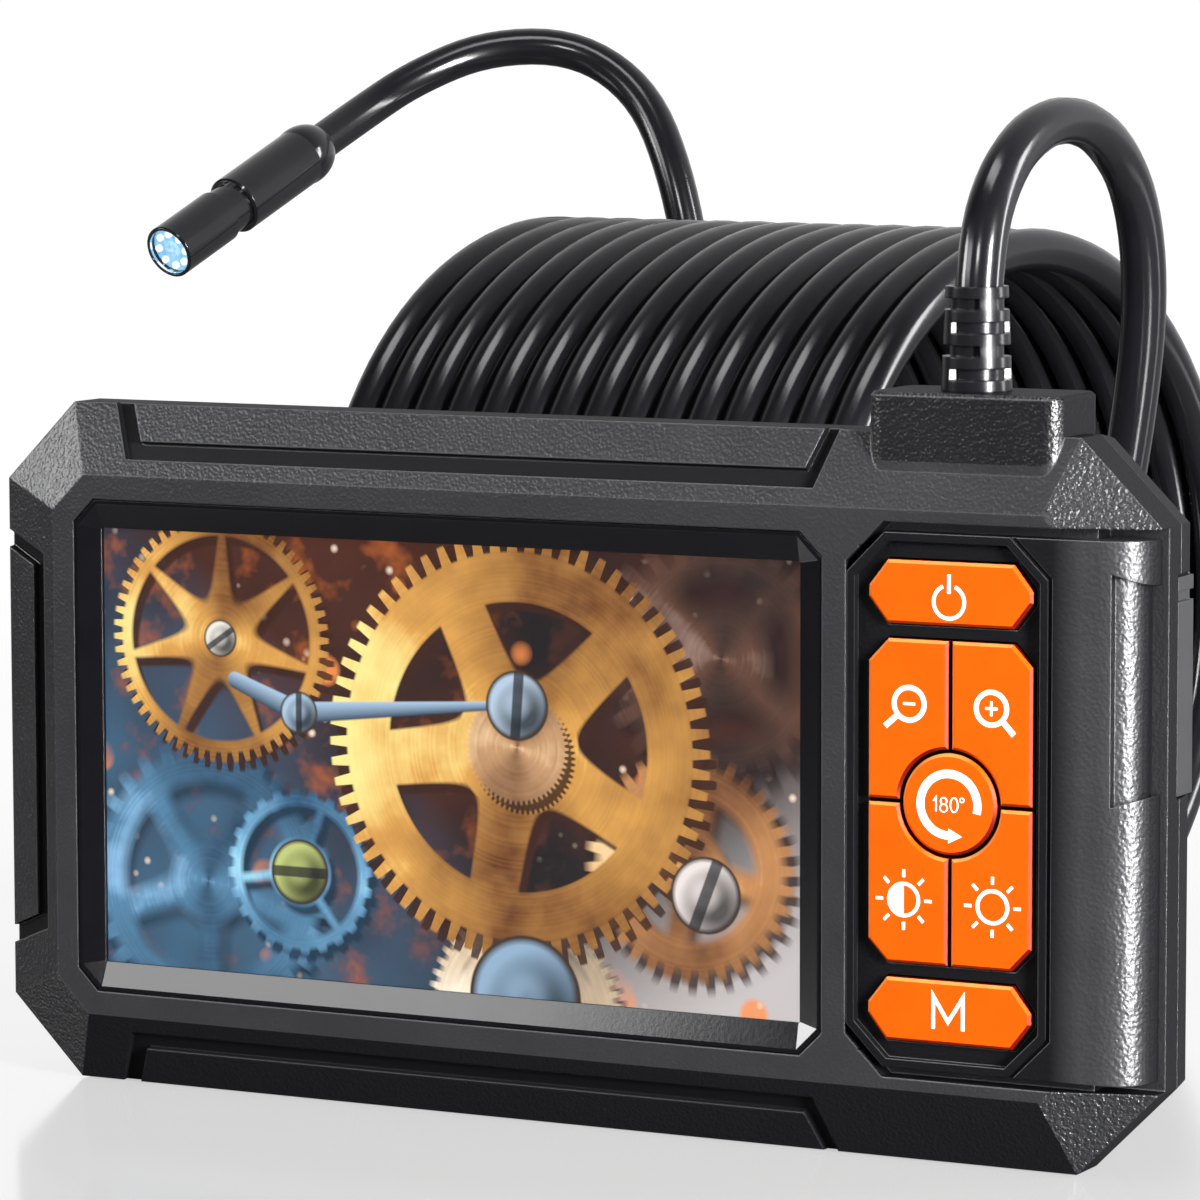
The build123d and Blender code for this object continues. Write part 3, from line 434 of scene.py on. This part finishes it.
def polished(name, base, rough, edge=0.2, scuff=0.05, coat=0.0, ripple=0.004, specular=0.5):
    # Smooth dark plastic or rubber: faint ripple, and a haze that varies over the surface.
    finish = Finish(name)
    place = finish.place()
    haze = finish.noise(place, 6.0, 4.0, 0.6)
    fine = finish.noise(place, 0.5, 2.0)
    lighter = tuple(value * 1.5 + 0.001 for value in base)
    colour = finish.mix(haze, base, lighter)
    normal = finish.bump(fine, ripple, finish.softEdge(edge))
    return finish.shade(base=colour, rough=haze * scuff + (rough - scuff / 2), coat=coat,
                        coatRough=0.08, specular=specular, normal=normal)


keyCap = {
    "orange": (0.64, 0.060, 0.0),
    "paler": (0.70, 0.076, 0.0),
    # painted highlight, painted shade on the rims, and the flanks' painted shade
    "lit": (0.90, 0.26, 0.06),
    "shaded": (0.10, 0.002, 0.001),
    "flank": (0.05, 0.001, 0.001),
    "rough": 0.40,
    "specular": 0.12,
    "edge": 0.12,
}


def keyPlastic(name, spec):
    # Satin orange caps with painted light: painted highlight on the rims towards the upper left,
    # painted shade on the rims towards the lower right and deep red painted shade on the flanks.
    finish = Finish(name)
    place = finish.place()
    facing = finish.node("ShaderNodeNewGeometry", output="True Normal")
    nx, ny, nz = finish.axes(facing)
    # Painted shade on the side faces.
    flank = (ny + 1).step(0.45, 0.85)
    rim = (ny + 1).step(0.05, 0.2)
    # Painted highlight on rims facing up and left, painted shade on rims facing down and right.
    lit = (nz - nx).step(0.2, 0.9) * rim
    shaded = (nx - nz).step(0.2, 0.9) * rim
    blotch = finish.noise(place, 4.0, 3.0)
    base = finish.mix(blotch, spec["orange"], spec["paler"])
    base = finish.mix(lit, base, spec["lit"])
    base = finish.mix(shaded, base, spec["shaded"])
    base = finish.mix(flank, base, spec["flank"])
    fine = finish.noise(place, 0.25, 2.0)
    normal = finish.bump(fine, 0.006, finish.softEdge(spec["edge"]))
    return finish.shade(base=base, rough=fine * 0.08 + spec["rough"], specular=spec["specular"],
                        normal=normal)


def clearPlate(name, tint):
    finish = Finish(name)
    place = finish.place()
    smear = finish.noise(place, 14.0, 4.0, 0.6)
    return finish.shade(base=tint, rough=smear * 0.008, clear=1.0, ior=1.4)


def metal(name, base, rough, grain=0.6, stretch=(1, 1, 1)):
    # Tinned or turned metal with fine scratches along one way.
    finish = Finish(name)
    place = finish.node("ShaderNodeVectorMath", {"operation": "MULTIPLY"},
                        {0: finish.place(), 1: stretch})
    scratch = finish.noise(place, grain, 4.0, 0.7)
    darker = tuple(value * 0.8 for value in base)
    return finish.shade(base=finish.mix(scratch, darker, base), metal=1.0,
                        rough=scratch * 0.2 + rough,
                        normal=finish.bump(scratch, 0.01, finish.softEdge(0.1)))


def circuitBoard(name):
    # Green mask over copper tracks: cells' edges stand a little proud.
    finish = Finish(name)
    place = finish.place()
    tracks = finish.cells(place, 3.0, "DISTANCE_TO_EDGE").step(0.06, 0.03)
    weave = finish.noise(place, 0.4, 2.0)
    base = finish.mix(tracks, (0.006, 0.075, 0.03), (0.02, 0.16, 0.06))
    return finish.shade(base=base, rough=weave * 0.1 + 0.28, coat=0.3,
                        normal=finish.bump(tracks + weave * 0.2, 0.03))


paint(["front_housing"], shellPlastic("shell plastic", shell, True))
paint(["rear_housing"], shellPlastic("rear shell plastic", shell, False))
paint(["grip_panel"], gripPlastic("grip plastic", grip))
paint(["screen_bezel"], polished("polished frame", (0.002, 0.002, 0.003), 0.13, edge=0.1))
keyNames = ["power_key", "zoom_out_key", "zoom_in_key", "rotate_key", "contrast_key", "light_key",
            "mode_key"]
paint(keyNames, keyPlastic("orange key plastic", keyCap))
paint(["display_window", "head_window"], clearPlate("clear plate", (0.97, 0.98, 1.0)))
paint(["keypad_membrane"], polished("silicone sheet", (0.05, 0.05, 0.055), 0.55))
paint(["port_cover"], polished("cover rubber", (0.012, 0.012, 0.013), 0.45, ripple=0.01))
paint(["strain_relief"],
      polished("relief rubber", (0.004, 0.004, 0.005), 0.24, edge=0.25, specular=0.3))
paint(["board_chips", "image_sensor"], polished("chip epoxy", (0.015, 0.015, 0.016), 0.4))
paint(["cable_socket"], polished("socket nylon", (0.7, 0.68, 0.62), 0.45))
paint(["battery_pack"], metal("battery foil", (0.6, 0.62, 0.66), 0.3, 1.5))
paint(["lcd_backlight", "usb_port", "card_socket", "key_switches"],
      metal("tinned steel", (0.7, 0.7, 0.7), 0.22, 0.5, (1, 1, 6)))
paint(["housing_screws", "board_screws", "key_board_screws"],
      metal("blackened screws", (0.16, 0.16, 0.17), 0.3, 0.3))
paint(["main_board", "port_board", "key_board"], circuitBoard("circuit board"))
paint(["head_ferrule", "head_barrel"],
      polished("black head metal", (0.005, 0.005, 0.006), 0.13, edge=0.12, coat=0.3, specular=0.4))
cablePiece.data.materials.append(
    polished("cable jacket", (0.004, 0.004, 0.005), 0.19, edge=0.05, scuff=0.06, coat=0.12,
             specular=0.4))
print("moulded finishes done")


# Camera head: lamps, ring and lens.
def lit(name, dim, bright, size, power):
    # Pale light that clouds over a little from place to place.
    finish = Finish(name)
    cloudy = finish.noise(finish.place(), size, 2.0)
    glow = finish.mix(cloudy.step(0.3, 0.7), dim, bright)
    return finish.shade(base=(0.2, 0.3, 0.4), rough=0.3, glow=glow, glowPower=power)


paint(["head_leds"], lit("lit lamps", (0.72, 0.92, 1.0), (1.0, 1.0, 1.0), 0.6, 1.3))
# Painted light: the ring board and the lens glow though neither is a lamp; only the lamps' glow is
# real light.
paint(["head_board"], lit("painted glow ring", (0.12, 0.36, 0.66), (0.30, 0.62, 0.85), 1.2, 1.0))
paint(["head_lens"], lit("lens painted glow", (0.16, 0.50, 0.86), (0.62, 0.88, 1.0), 0.5, 1.0))


# Display: a clockwork picture, drawn in millimetres from the screen's middle.
picture = {
    "half": (47.6, 27.0),
    "night": (0.010, 0.006, 0.006),
    "brown": (0.075, 0.018, 0.006),
    "ember": (0.42, 0.10, 0.015),
    "blue": (0.045, 0.13, 0.22),
    "pale": (0.75, 0.70, 0.68),
    "disc": (1.0, 0.30, 0.07),
    "spark": (1.0, 0.78, 0.55),
    "shadow": (0.9, -1.1),        # where a wheel's shadow falls
    "border": (0.002, 0.002, 0.002),
    "power": 1.1,
}
brassDark = (0.12, 0.030, 0.006)
brassLight = (0.95, 0.47, 0.10)
gears = [
    {"at": (37, 15), "tip": 15.0, "root": 13.4, "teeth": 26, "rim": 10.0, "hub": 5.5,
     "spokes": 4, "width": 3.2, "turn": 0.7, "soft": 1.6,
     "dark": (0.012, 0.008, 0.007), "light": (0.16, 0.07, 0.04)},
    {"at": (-33, -16), "tip": 17.0, "root": 15.6, "teeth": 30, "rim": 12.0, "hub": 5.0,
     "spokes": 5, "width": 3.0, "turn": 0.3, "soft": 0.9,
     "dark": (0.015, 0.05, 0.10), "light": (0.12, 0.30, 0.48)},
    {"at": (-20, -14), "tip": 10.0, "root": 9.4, "teeth": 24, "rim": 8.2, "hub": 4.2,
     "spokes": 3, "width": 1.0, "turn": 0.9, "soft": 0.35,
     "dark": (0.02, 0.09, 0.18), "light": (0.22, 0.50, 0.75)},
    {"at": (33, -10), "tip": 13.5, "root": 12.2, "teeth": 34, "rim": 8.5, "hub": 4.5,
     "spokes": 4, "width": 3.0, "turn": 0.2, "soft": 0.7,
     "dark": (0.10, 0.03, 0.01), "light": (0.75, 0.34, 0.12)},
    {"at": (11, -29), "tip": 13.0, "root": 12.2, "teeth": 52, "rim": 9.6, "hub": 9.5,
     "spokes": 2, "width": 9.0, "turn": 0.0, "soft": 0.5,
     "dark": (0.12, 0.10, 0.09), "light": (0.95, 0.70, 0.45)},
    {"at": (-31, 14), "tip": 15.2, "root": 14.0, "teeth": 56, "rim": 12.6, "hub": 3.6,
     "spokes": 7, "width": 3.2, "taper": 0.72, "turn": 0.25, "soft": 0.22,
     "dark": brassDark, "light": brassLight},
    {"at": (10, 3), "tip": 25.6, "root": 23.3, "teeth": 64, "rim": 17.4, "hub": 8.2,
     "spokes": 5, "width": 6.4, "turn": 0.5, "soft": 0.16, "dark": brassDark, "light": brassLight},
    {"at": (10, 3), "tip": 6.9, "root": 6.4, "teeth": 58, "rim": 5.0, "hub": 5.6,
     "spokes": 2, "width": 1.0, "turn": 0.0, "soft": 0.14,
     "dark": (0.10, 0.03, 0.01), "light": (0.75, 0.42, 0.20)},
]


def gearMask(finish, x, y, spec, shift=(0, 0)):
    # Toothed rim: the outer radius swings between root and tip round the circle. The ring between
    # hub and rim is open except within half a width of a spoke's middle line.
    dx = x - (spec["at"][0] + shift[0])
    dy = y - (spec["at"][1] + shift[1])
    radius = (dx * dx + dy * dy).root()
    angle = dy.math("ARCTAN2", dx)
    soft = spec["soft"]
    tooth = (angle * spec["teeth"]).sine().step(-0.35, 0.35)
    edge = tooth * (spec["tip"] - spec["root"]) + spec["root"]
    solid = (edge - radius).step(-soft, soft)
    swing = abs(((angle + spec["turn"]) * (spec["spokes"] / 2)).sine())
    offSpoke = swing * radius * (2 / spec["spokes"])
    window = (radius - spec["hub"]).step(-soft, soft) * (spec["rim"] - radius).step(-soft, soft)
    narrow = (radius - spec["hub"]) * (spec.get("taper", 0) / (spec["rim"] - spec["hub"]))
    halfWidth = (1 - narrow) * (spec["width"] / 2)
    window = window * (offSpoke - halfWidth).step(-soft, soft)
    return solid * (1 - window), radius, angle


def displayPicture(name, spec):
    finish = Finish(name)
    place = finish.place()
    across, _, up = finish.axes(place)
    x, y = across - screenX, up - midZ
    # Blurred background: dark above, blue at the lower left, warm spots.
    cloud = finish.noise(place, 22.0, 2.0)
    spots = finish.cells(place, 9.0)
    warm = finish.noise(place, 6.0, 3.0, 0.6).step(0.52, 0.72)
    colour = finish.mix(cloud.step(0.35, 0.7), spec["night"], spec["brown"])
    colour = finish.mix(warm * (20 - x).step(0, 30), colour, spec["ember"])
    blue = (0 - x - y * 1.2).step(5, 45) * cloud.step(0.2, 0.6)
    colour = finish.mix(blue * (1 - warm * 0.6), colour, spec["blue"])
    pale = (x - y * 1.4).step(38, 75)
    colour = finish.mix(pale * 0.8, colour, spec["pale"])
    disc = spots.step(0.24, 0.16) * (finish.noise(place, 15.0, 1.0).step(0.42, 0.55))
    colour = finish.mix(disc * 0.85, colour, spec["disc"])
    spark = finish.cells(place, 3.2).step(0.2, 0.05) * finish.noise(place, 8.0, 1.0).step(0.5, 0.62)
    colour = finish.mix(spark, colour, spec["spark"])
    for gear in gears:
        shade, _, _ = gearMask(finish, x, y, gear, spec["shadow"])
        colour = finish.mix(shade * 0.9, colour, tuple(value * 0.35 for value in gear["dark"]))
        mask, radius, angle = gearMask(finish, x, y, gear)
        # Turned metal: two bright sectors round the middle, fine rings, and a brighter left.
        sheen = (angle * 2 + 1.9).sine() * 0.28 + 0.58
        rings = finish.noise(finish.node("ShaderNodeCombineXYZ", None, {0: radius * 6}), 3.0, 2.0)
        cloudy = finish.noise(place, 7.0, 3.0)
        bright = sheen + (rings - 0.5) * 0.25 + (cloudy - 0.5) * 0.9
        bright = bright - (x - gear["at"][0]) * 0.012
        metalColour = finish.mix(bright.step(0.1, 1.0), gear["dark"], gear["light"])
        flare = tuple(min(1, value * 1.5 + 0.15) for value in gear["light"])
        metalColour = finish.mix(bright.step(0.8, 1.15), metalColour, flare)
        colour = finish.mix(mask, colour, metalColour)
    # Steel lever from the small wheel to the big one, with two screws.
    for bar in levers:
        colour = lever(finish, colour, x, y, bar)
    for screw in screws:
        colour = screwHead(finish, colour, x, y, screw)
    halfWidth, halfHeight = spec["half"]
    inside = (abs(x) < halfWidth) * (abs(y) < halfHeight)
    colour = finish.mix(inside, spec["border"], colour)
    return finish.shade(base=(0.01, 0.01, 0.012), rough=0.25, glow=colour,
                        glowPower=spec["power"])


levers = [
    {"from": (-29, 9), "to": (-20, 5.5), "wide": 2.0, "narrow": 2.6},
    {"from": (-20, 5.5), "to": (9, 8), "wide": 2.6, "narrow": 0.9},
]
screws = [
    {"at": (-31, 14), "size": 2.3, "turn": 0.6, "light": (0.9, 0.85, 0.75)},
    {"at": (-20, 5.5), "size": 2.6, "turn": 1.57, "light": (0.45, 0.6, 0.75)},
    {"at": (10, 8), "size": 4.2, "turn": 1.5, "light": (0.5, 0.62, 0.75)},
    {"at": (-20, -14), "size": 4.0, "turn": 0.0, "light": (0.55, 0.62, 0.20)},
    {"at": (35, -13), "size": 4.6, "turn": 1.2, "light": (0.9, 0.8, 0.75)},
    {"at": (11, -27), "size": 7.5, "turn": 9.0, "light": (0.30, 0.45, 0.60)},
]


def lever(finish, colour, x, y, spec):
    # Distance to a straight bar whose width runs from wide to narrow.
    (x0, y0), (x1, y1) = spec["from"], spec["to"]
    length = ((x1 - x0) ** 2 + (y1 - y0) ** 2) ** 0.5
    ux, uy = (x1 - x0) / length, (y1 - y0) / length
    dx, dy = x - x0, y - y0
    along = (dx * ux + dy * uy).math("DIVIDE", length, clamp=True)
    side = dy * ux - dx * uy
    offX, offY = dx - along * (length * ux), dy - along * (length * uy)
    distance = (offX * offX + offY * offY).root()
    width = along * (spec["narrow"] - spec["wide"]) + spec["wide"]
    mask = (width * 0.5 - distance).step(-0.12, 0.12)
    tone = (side / width).step(-0.5, 0.5)
    steel = finish.mix(tone, (0.02, 0.05, 0.09), (0.45, 0.62, 0.80))
    return finish.mix(mask, colour, steel)


def screwHead(finish, colour, x, y, spec):
    # A round head lit from the upper left, with a slot and a dark rim.
    dx, dy = x - spec["at"][0], y - spec["at"][1]
    radius = (dx * dx + dy * dy).root()
    size = spec["size"]
    mask = (size - radius).step(-0.12, 0.12)
    tone = ((dy - dx) * (0.5 / size) + 0.5) + (radius * (9 / size)).sine() * 0.15
    head = finish.mix(tone.step(0.0, 1.0), tuple(value * 0.10 for value in spec["light"]),
                      spec["light"])
    slot = abs(dx * sin(spec["turn"]) - dy * cos(spec["turn"]))
    groove = (size * 0.16 - slot).step(-0.1, 0.1)
    head = finish.mix(groove * (0.85 if size < 5 else 0.0), head, (0.01, 0.01, 0.015))
    head = finish.mix((radius - size * 0.84).step(0, size * 0.12), head, (0.05, 0.03, 0.02))
    return finish.mix(mask, colour, head)


paint(["lcd_panel"], displayPicture("display picture", picture))
print("display drawn")


# White marks on the keys, in millimetres from each key's middle.
markRise = 0.05         # height above the key
markSink = 0.02         # and depth into it
markStep = 0.004        # between strokes that cross
marks = {
    "power_key": {"at": (-0.1, -0.9), "parts": [
        {"arc": (0, 0, 1.90, 113, 427), "width": 0.43},
        {"line": [(0, 0.95), (0, 3.15)], "width": 0.43}]},
    "zoom_out_key": {"at": (0.2, 1.85), "parts": [
        {"arc": (0, 0, 1.88, 0, 360), "width": 0.58},
        {"line": [(-1.5, -1.4), (-3.0, -2.7)], "width": 0.68},
        {"line": [(-0.75, 0), (0.75, 0)], "width": 0.32}]},
    "zoom_in_key": {"at": (0.0, 1.85), "parts": [
        {"arc": (0, 0, 1.88, 0, 360), "width": 0.58},
        {"line": [(1.45, -1.45), (2.8, -2.9)], "width": 0.68},
        {"line": [(-0.75, 0), (0.75, 0)], "width": 0.32},
        {"line": [(0, -0.85), (0, 0.85)], "width": 0.28}]},
    "rotate_key": {"at": (0, 0), "parts": [
        {"arc": (0, 0, 3.55, -14, 270), "width": 0.95},
        {"shape": [(-0.05, -2.75), (-0.05, -4.45), (1.65, -3.6)]},
        {"line": [(-1.95, 0.35), (-1.6, 0.8), (-1.6, -0.85)], "width": 0.17},
        {"arc": (-0.65, 0.40, 0.38, 0, 360), "width": 0.14},
        {"arc": (-0.65, -0.42, 0.45, 0, 360), "width": 0.14},
        {"oval": (0.65, 0, 0.46, 0.82), "width": 0.15},
        {"arc": (1.62, 0.6, 0.25, 0, 360), "width": 0.12}]},
    "contrast_key": {"at": (-0.4, -1.85), "parts": [
        {"arc": (0, 0, 1.85, 0, 360), "width": 0.42},
        {"half": (0, 0, 1.85)}, {"rays": (2.6, 3.5)}]},
    "light_key": {"at": (0.25, -1.95), "parts": [
        {"arc": (0, 0, 1.85, 0, 360), "width": 0.45}, {"rays": (2.6, 3.5)}]},
    "mode_key": {"at": (0, 0), "parts": [
        {"line": [(-1.85, -1.9), (-1.85, 1.9), (0, -1.0), (1.85, 1.9), (1.85, -1.9)],
         "width": 0.44}]},
}


def strokeLines(part):
    # Middle line of each stroke and whether it closes on itself.
    if "line" in part:
        return [(np.array(part["line"], float), False)]
    if "arc" in part:
        cx, cz, radius, start, end = part["arc"]
        around = end - start == 360
        angle = np.radians(np.linspace(start, end, 49))[: 48 if around else 49]
        return [(np.c_[cx + radius * np.cos(angle), cz + radius * np.sin(angle)], around)]
    if "oval" in part:
        cx, cz, rx, rz = part["oval"]
        angle = np.radians(np.linspace(0, 360, 33))[:32]
        return [(np.c_[cx + rx * np.cos(angle), cz + rz * np.sin(angle)], True)]
    if "rays" in part:
        inner, outer = part["rays"]
        angle = np.radians(np.arange(8) * 45)
        way = np.c_[np.cos(angle), np.sin(angle)]
        return [(np.array([inner * u, outer * u]), False) for u in way]
    return []


def ribbonEdges(line, width, closed):
    # Each point moves sideways by half the width over the cosine of half the turn there.
    before, after = np.roll(line, 1, 0), np.roll(line, -1, 0)
    back, ahead = line - before, after - line
    if not closed:
        back[0], ahead[-1] = ahead[0], back[-1]
    back /= np.linalg.norm(back, axis=1)[:, None]
    ahead /= np.linalg.norm(ahead, axis=1)[:, None]
    sideA, sideB = np.c_[-back[:, 1], back[:, 0]], np.c_[-ahead[:, 1], ahead[:, 0]]
    share = 1 + (sideA * sideB).sum(1)
    move = (sideA + sideB) / share[:, None] * width / 2
    return line + move, line - move


def slab(left, right, closed, frontAt, rise):
    # A thin raised ribbon: front face, back face and its sides, from the two edge lines.
    count = len(left)
    flat = np.vstack([left, right])
    front = np.c_[flat[:, 0], np.full(2 * count, frontAt - rise), flat[:, 1]]
    back = np.c_[flat[:, 0], np.full(2 * count, frontAt + markSink), flat[:, 1]]
    a = np.arange(count if closed else count - 1)
    b = (a + 1) % count
    frontFaces = np.c_[a, b, b + count, a + count]
    offset = 2 * count
    faces = [frontFaces, frontFaces[:, ::-1] + offset,
             np.c_[b, a, a + offset, b + offset],
             np.c_[a + count, b + count, b + count + offset, a + count + offset]]
    if not closed:
        last = count - 1
        faces.append(np.array([[0, count, count + offset, offset],
                               [last + count, last, last + offset, last + count + offset]]))
    return np.vstack([front, back]), np.vstack(faces)


def markMesh(name, spec, centre, frontAt):
    points, faces, start = [], [], 0
    for part in spec["parts"]:
        pieces = [ribbonEdges(line, part.get("width", 0.36), closed) + (closed,)
                  for line, closed in strokeLines(part)]
        if "half" in part:
            cx, cz, radius = part["half"]
            angle = np.radians(np.linspace(90, 270, 25))
            rim = np.c_[cx + radius * np.cos(angle), cz + radius * np.sin(angle)]
            pieces.append((np.c_[np.full(25, cx), rim[:, 1]], rim, False))
        if "shape" in part:
            first, second, tip = np.array(part["shape"], float)
            pieces.append((np.array([first, tip]), np.array([second, tip]), False))
        for left, right, closed in pieces:
            shift = np.array(centre) + spec["at"]
            rise = markRise + markStep * len(points)
            verts, quads = slab(left + shift, right + shift, closed, frontAt, rise)
            points.append(verts)
            faces.append(quads + start)
            start += len(verts)
    mesh = bpy.data.meshes.new(name)
    mesh.from_pydata(np.vstack(points) * mm, [], np.vstack(faces).tolist())
    mesh.validate()
    piece = bpy.data.objects.new(name, mesh)
    bpy.context.scene.collection.objects.link(piece)
    return piece


def tidyNormals(piece):
    work = bmesh.new()
    work.from_mesh(piece.data)
    bmesh.ops.remove_doubles(work, verts=work.verts, dist=1e-7)
    bmesh.ops.recalc_face_normals(work, faces=work.faces)
    work.to_mesh(piece.data)
    work.free()


def printedMark(name):
    finish = Finish(name)
    place = finish.place()
    ink = finish.noise(place, 0.3, 2.0)
    base = finish.mix(ink, (0.88, 0.86, 0.82), (0.98, 0.97, 0.95))
    return finish.shade(base=base, rough=ink * 0.1 + 0.4, normal=finish.bump(ink, 0.004))


bodyOf = {"power_key": "power_button", "zoom_out_key": "zoom_out_button",
          "zoom_in_key": "zoom_in_button", "rotate_key": "rotate_button",
          "contrast_key": "contrast_button", "light_key": "light_button", "mode_key": "mode_button"}
inkMaterial = printedMark("white mark ink")
for key, spec in marks.items():
    low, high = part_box(key)
    centre = ((low.x + high.x) / 2 / mm, (low.z + high.z) / 2 / mm)
    piece = markMesh(key.replace("_key", "_mark"), spec, centre, low.y / mm)
    tidyNormals(piece)
    piece.data.materials.append(inkMaterial)
    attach(piece, bodyOf[key])
print("key marks printed")


# Studio, in metres and watts.
studio = {
    "floorSize": 6.0,
    "floorCells": 40,
    "floorDrop": 0.0002,
    "floorGlow": 0.56,
    "target": (0, 0.03, 0.06),
    "worldDim": 0.02,
    "worldBack": 0.75,
    "boxes": [
        {"name": "right_strip", "at": (0.62, -0.26, 0.16), "size": (0.12, 0.34), "power": 19.0},
        {"name": "back_strip", "at": (0.55, 0.30, 0.25), "size": (0.10, 0.40), "power": 2.5},
        {"name": "left_box", "at": (-0.85, -0.43, 0.34), "size": (0.34, 0.26), "power": 4.8},
        {"name": "front_card", "at": (-0.62, -0.78, 0.45), "size": (0.36, 0.24), "power": 2.0},
        {"name": "high_card", "at": (0.12, -0.92, 0.50), "size": (0.16, 0.12), "power": 2.0},
        {"name": "top_box", "at": (-0.05, -0.14, 0.75), "size": (0.42, 0.18), "power": 1.6},
    ],
}


def makeFloor(spec):
    half = spec["floorSize"] / 2
    count = spec["floorCells"] + 1
    line = np.linspace(-half, half, count)
    gx, gy = np.meshgrid(line, line, indexing="ij")
    verts = np.c_[gx.ravel(), gy.ravel(), np.full(count * count, -spec["floorDrop"])]
    a = (np.arange(count - 1)[:, None] * count + np.arange(count - 1)).ravel()
    mesh = bpy.data.meshes.new("floor")
    mesh.from_pydata(verts, [], np.c_[a, a + count, a + count + 1, a + 1].tolist())
    floor = bpy.data.objects.new("floor", mesh)
    bpy.context.scene.collection.objects.link(floor)
    finish = Finish("pale gloss floor")
    haze = finish.noise(finish.place(), 60.0, 3.0)
    seen = finish.node("ShaderNodeLightPath", output="Is Camera Ray")
    glow = finish.mix(seen, (0.0, 0.0, 0.0), (1.0, 1.0, 1.0))
    mesh.materials.append(finish.shade(
        base=(0.10, 0.10, 0.10), rough=haze * 0.06 + 0.10, glow=glow,
        glowPower=spec["floorGlow"]))


def makeLights(spec):
    target = Vector(spec["target"])
    for box in spec["boxes"]:
        data = bpy.data.lights.new(box["name"], "AREA")
        data.shape = "RECTANGLE"
        data.size, data.size_y = box["size"]
        data.energy = box["power"]
        lamp = bpy.data.objects.new(box["name"], data)
        lamp.location = box["at"]
        lamp.rotation_euler = (target - lamp.location).to_track_quat("-Z", "Y").to_euler()
        bpy.context.scene.collection.objects.link(lamp)


def makeWorld(spec):
    # Pale all round for the eye; for light it is brightest behind the object.
    world = bpy.data.worlds.new("studio")
    world.use_nodes = True
    tree = world.node_tree
    tree.nodes.clear()
    coords = tree.nodes.new("ShaderNodeTexCoord")
    split = tree.nodes.new("ShaderNodeSeparateXYZ")
    tree.links.new(coords.outputs["Generated"], split.inputs[0])    # the ray's direction
    toBack = Socket(tree, split.outputs[1]).step(-0.1, 0.7)
    seen = Socket(tree, tree.nodes.new("ShaderNodeLightPath").outputs["Is Camera Ray"])
    level = toBack * (spec["worldBack"] - spec["worldDim"]) + spec["worldDim"]
    level = level.high(seen)
    background = tree.nodes.new("ShaderNodeBackground")
    background.inputs["Color"].default_value = (1, 1, 1, 1)
    join(tree, level, background.inputs["Strength"])
    end = tree.nodes.new("ShaderNodeOutputWorld")
    tree.links.new(background.outputs[0], end.inputs[0])
    bpy.context.scene.world = world


makeFloor(studio)
makeLights(studio)
makeWorld(studio)
bpy.context.scene.view_settings.view_transform = "Standard"
print("studio lit")
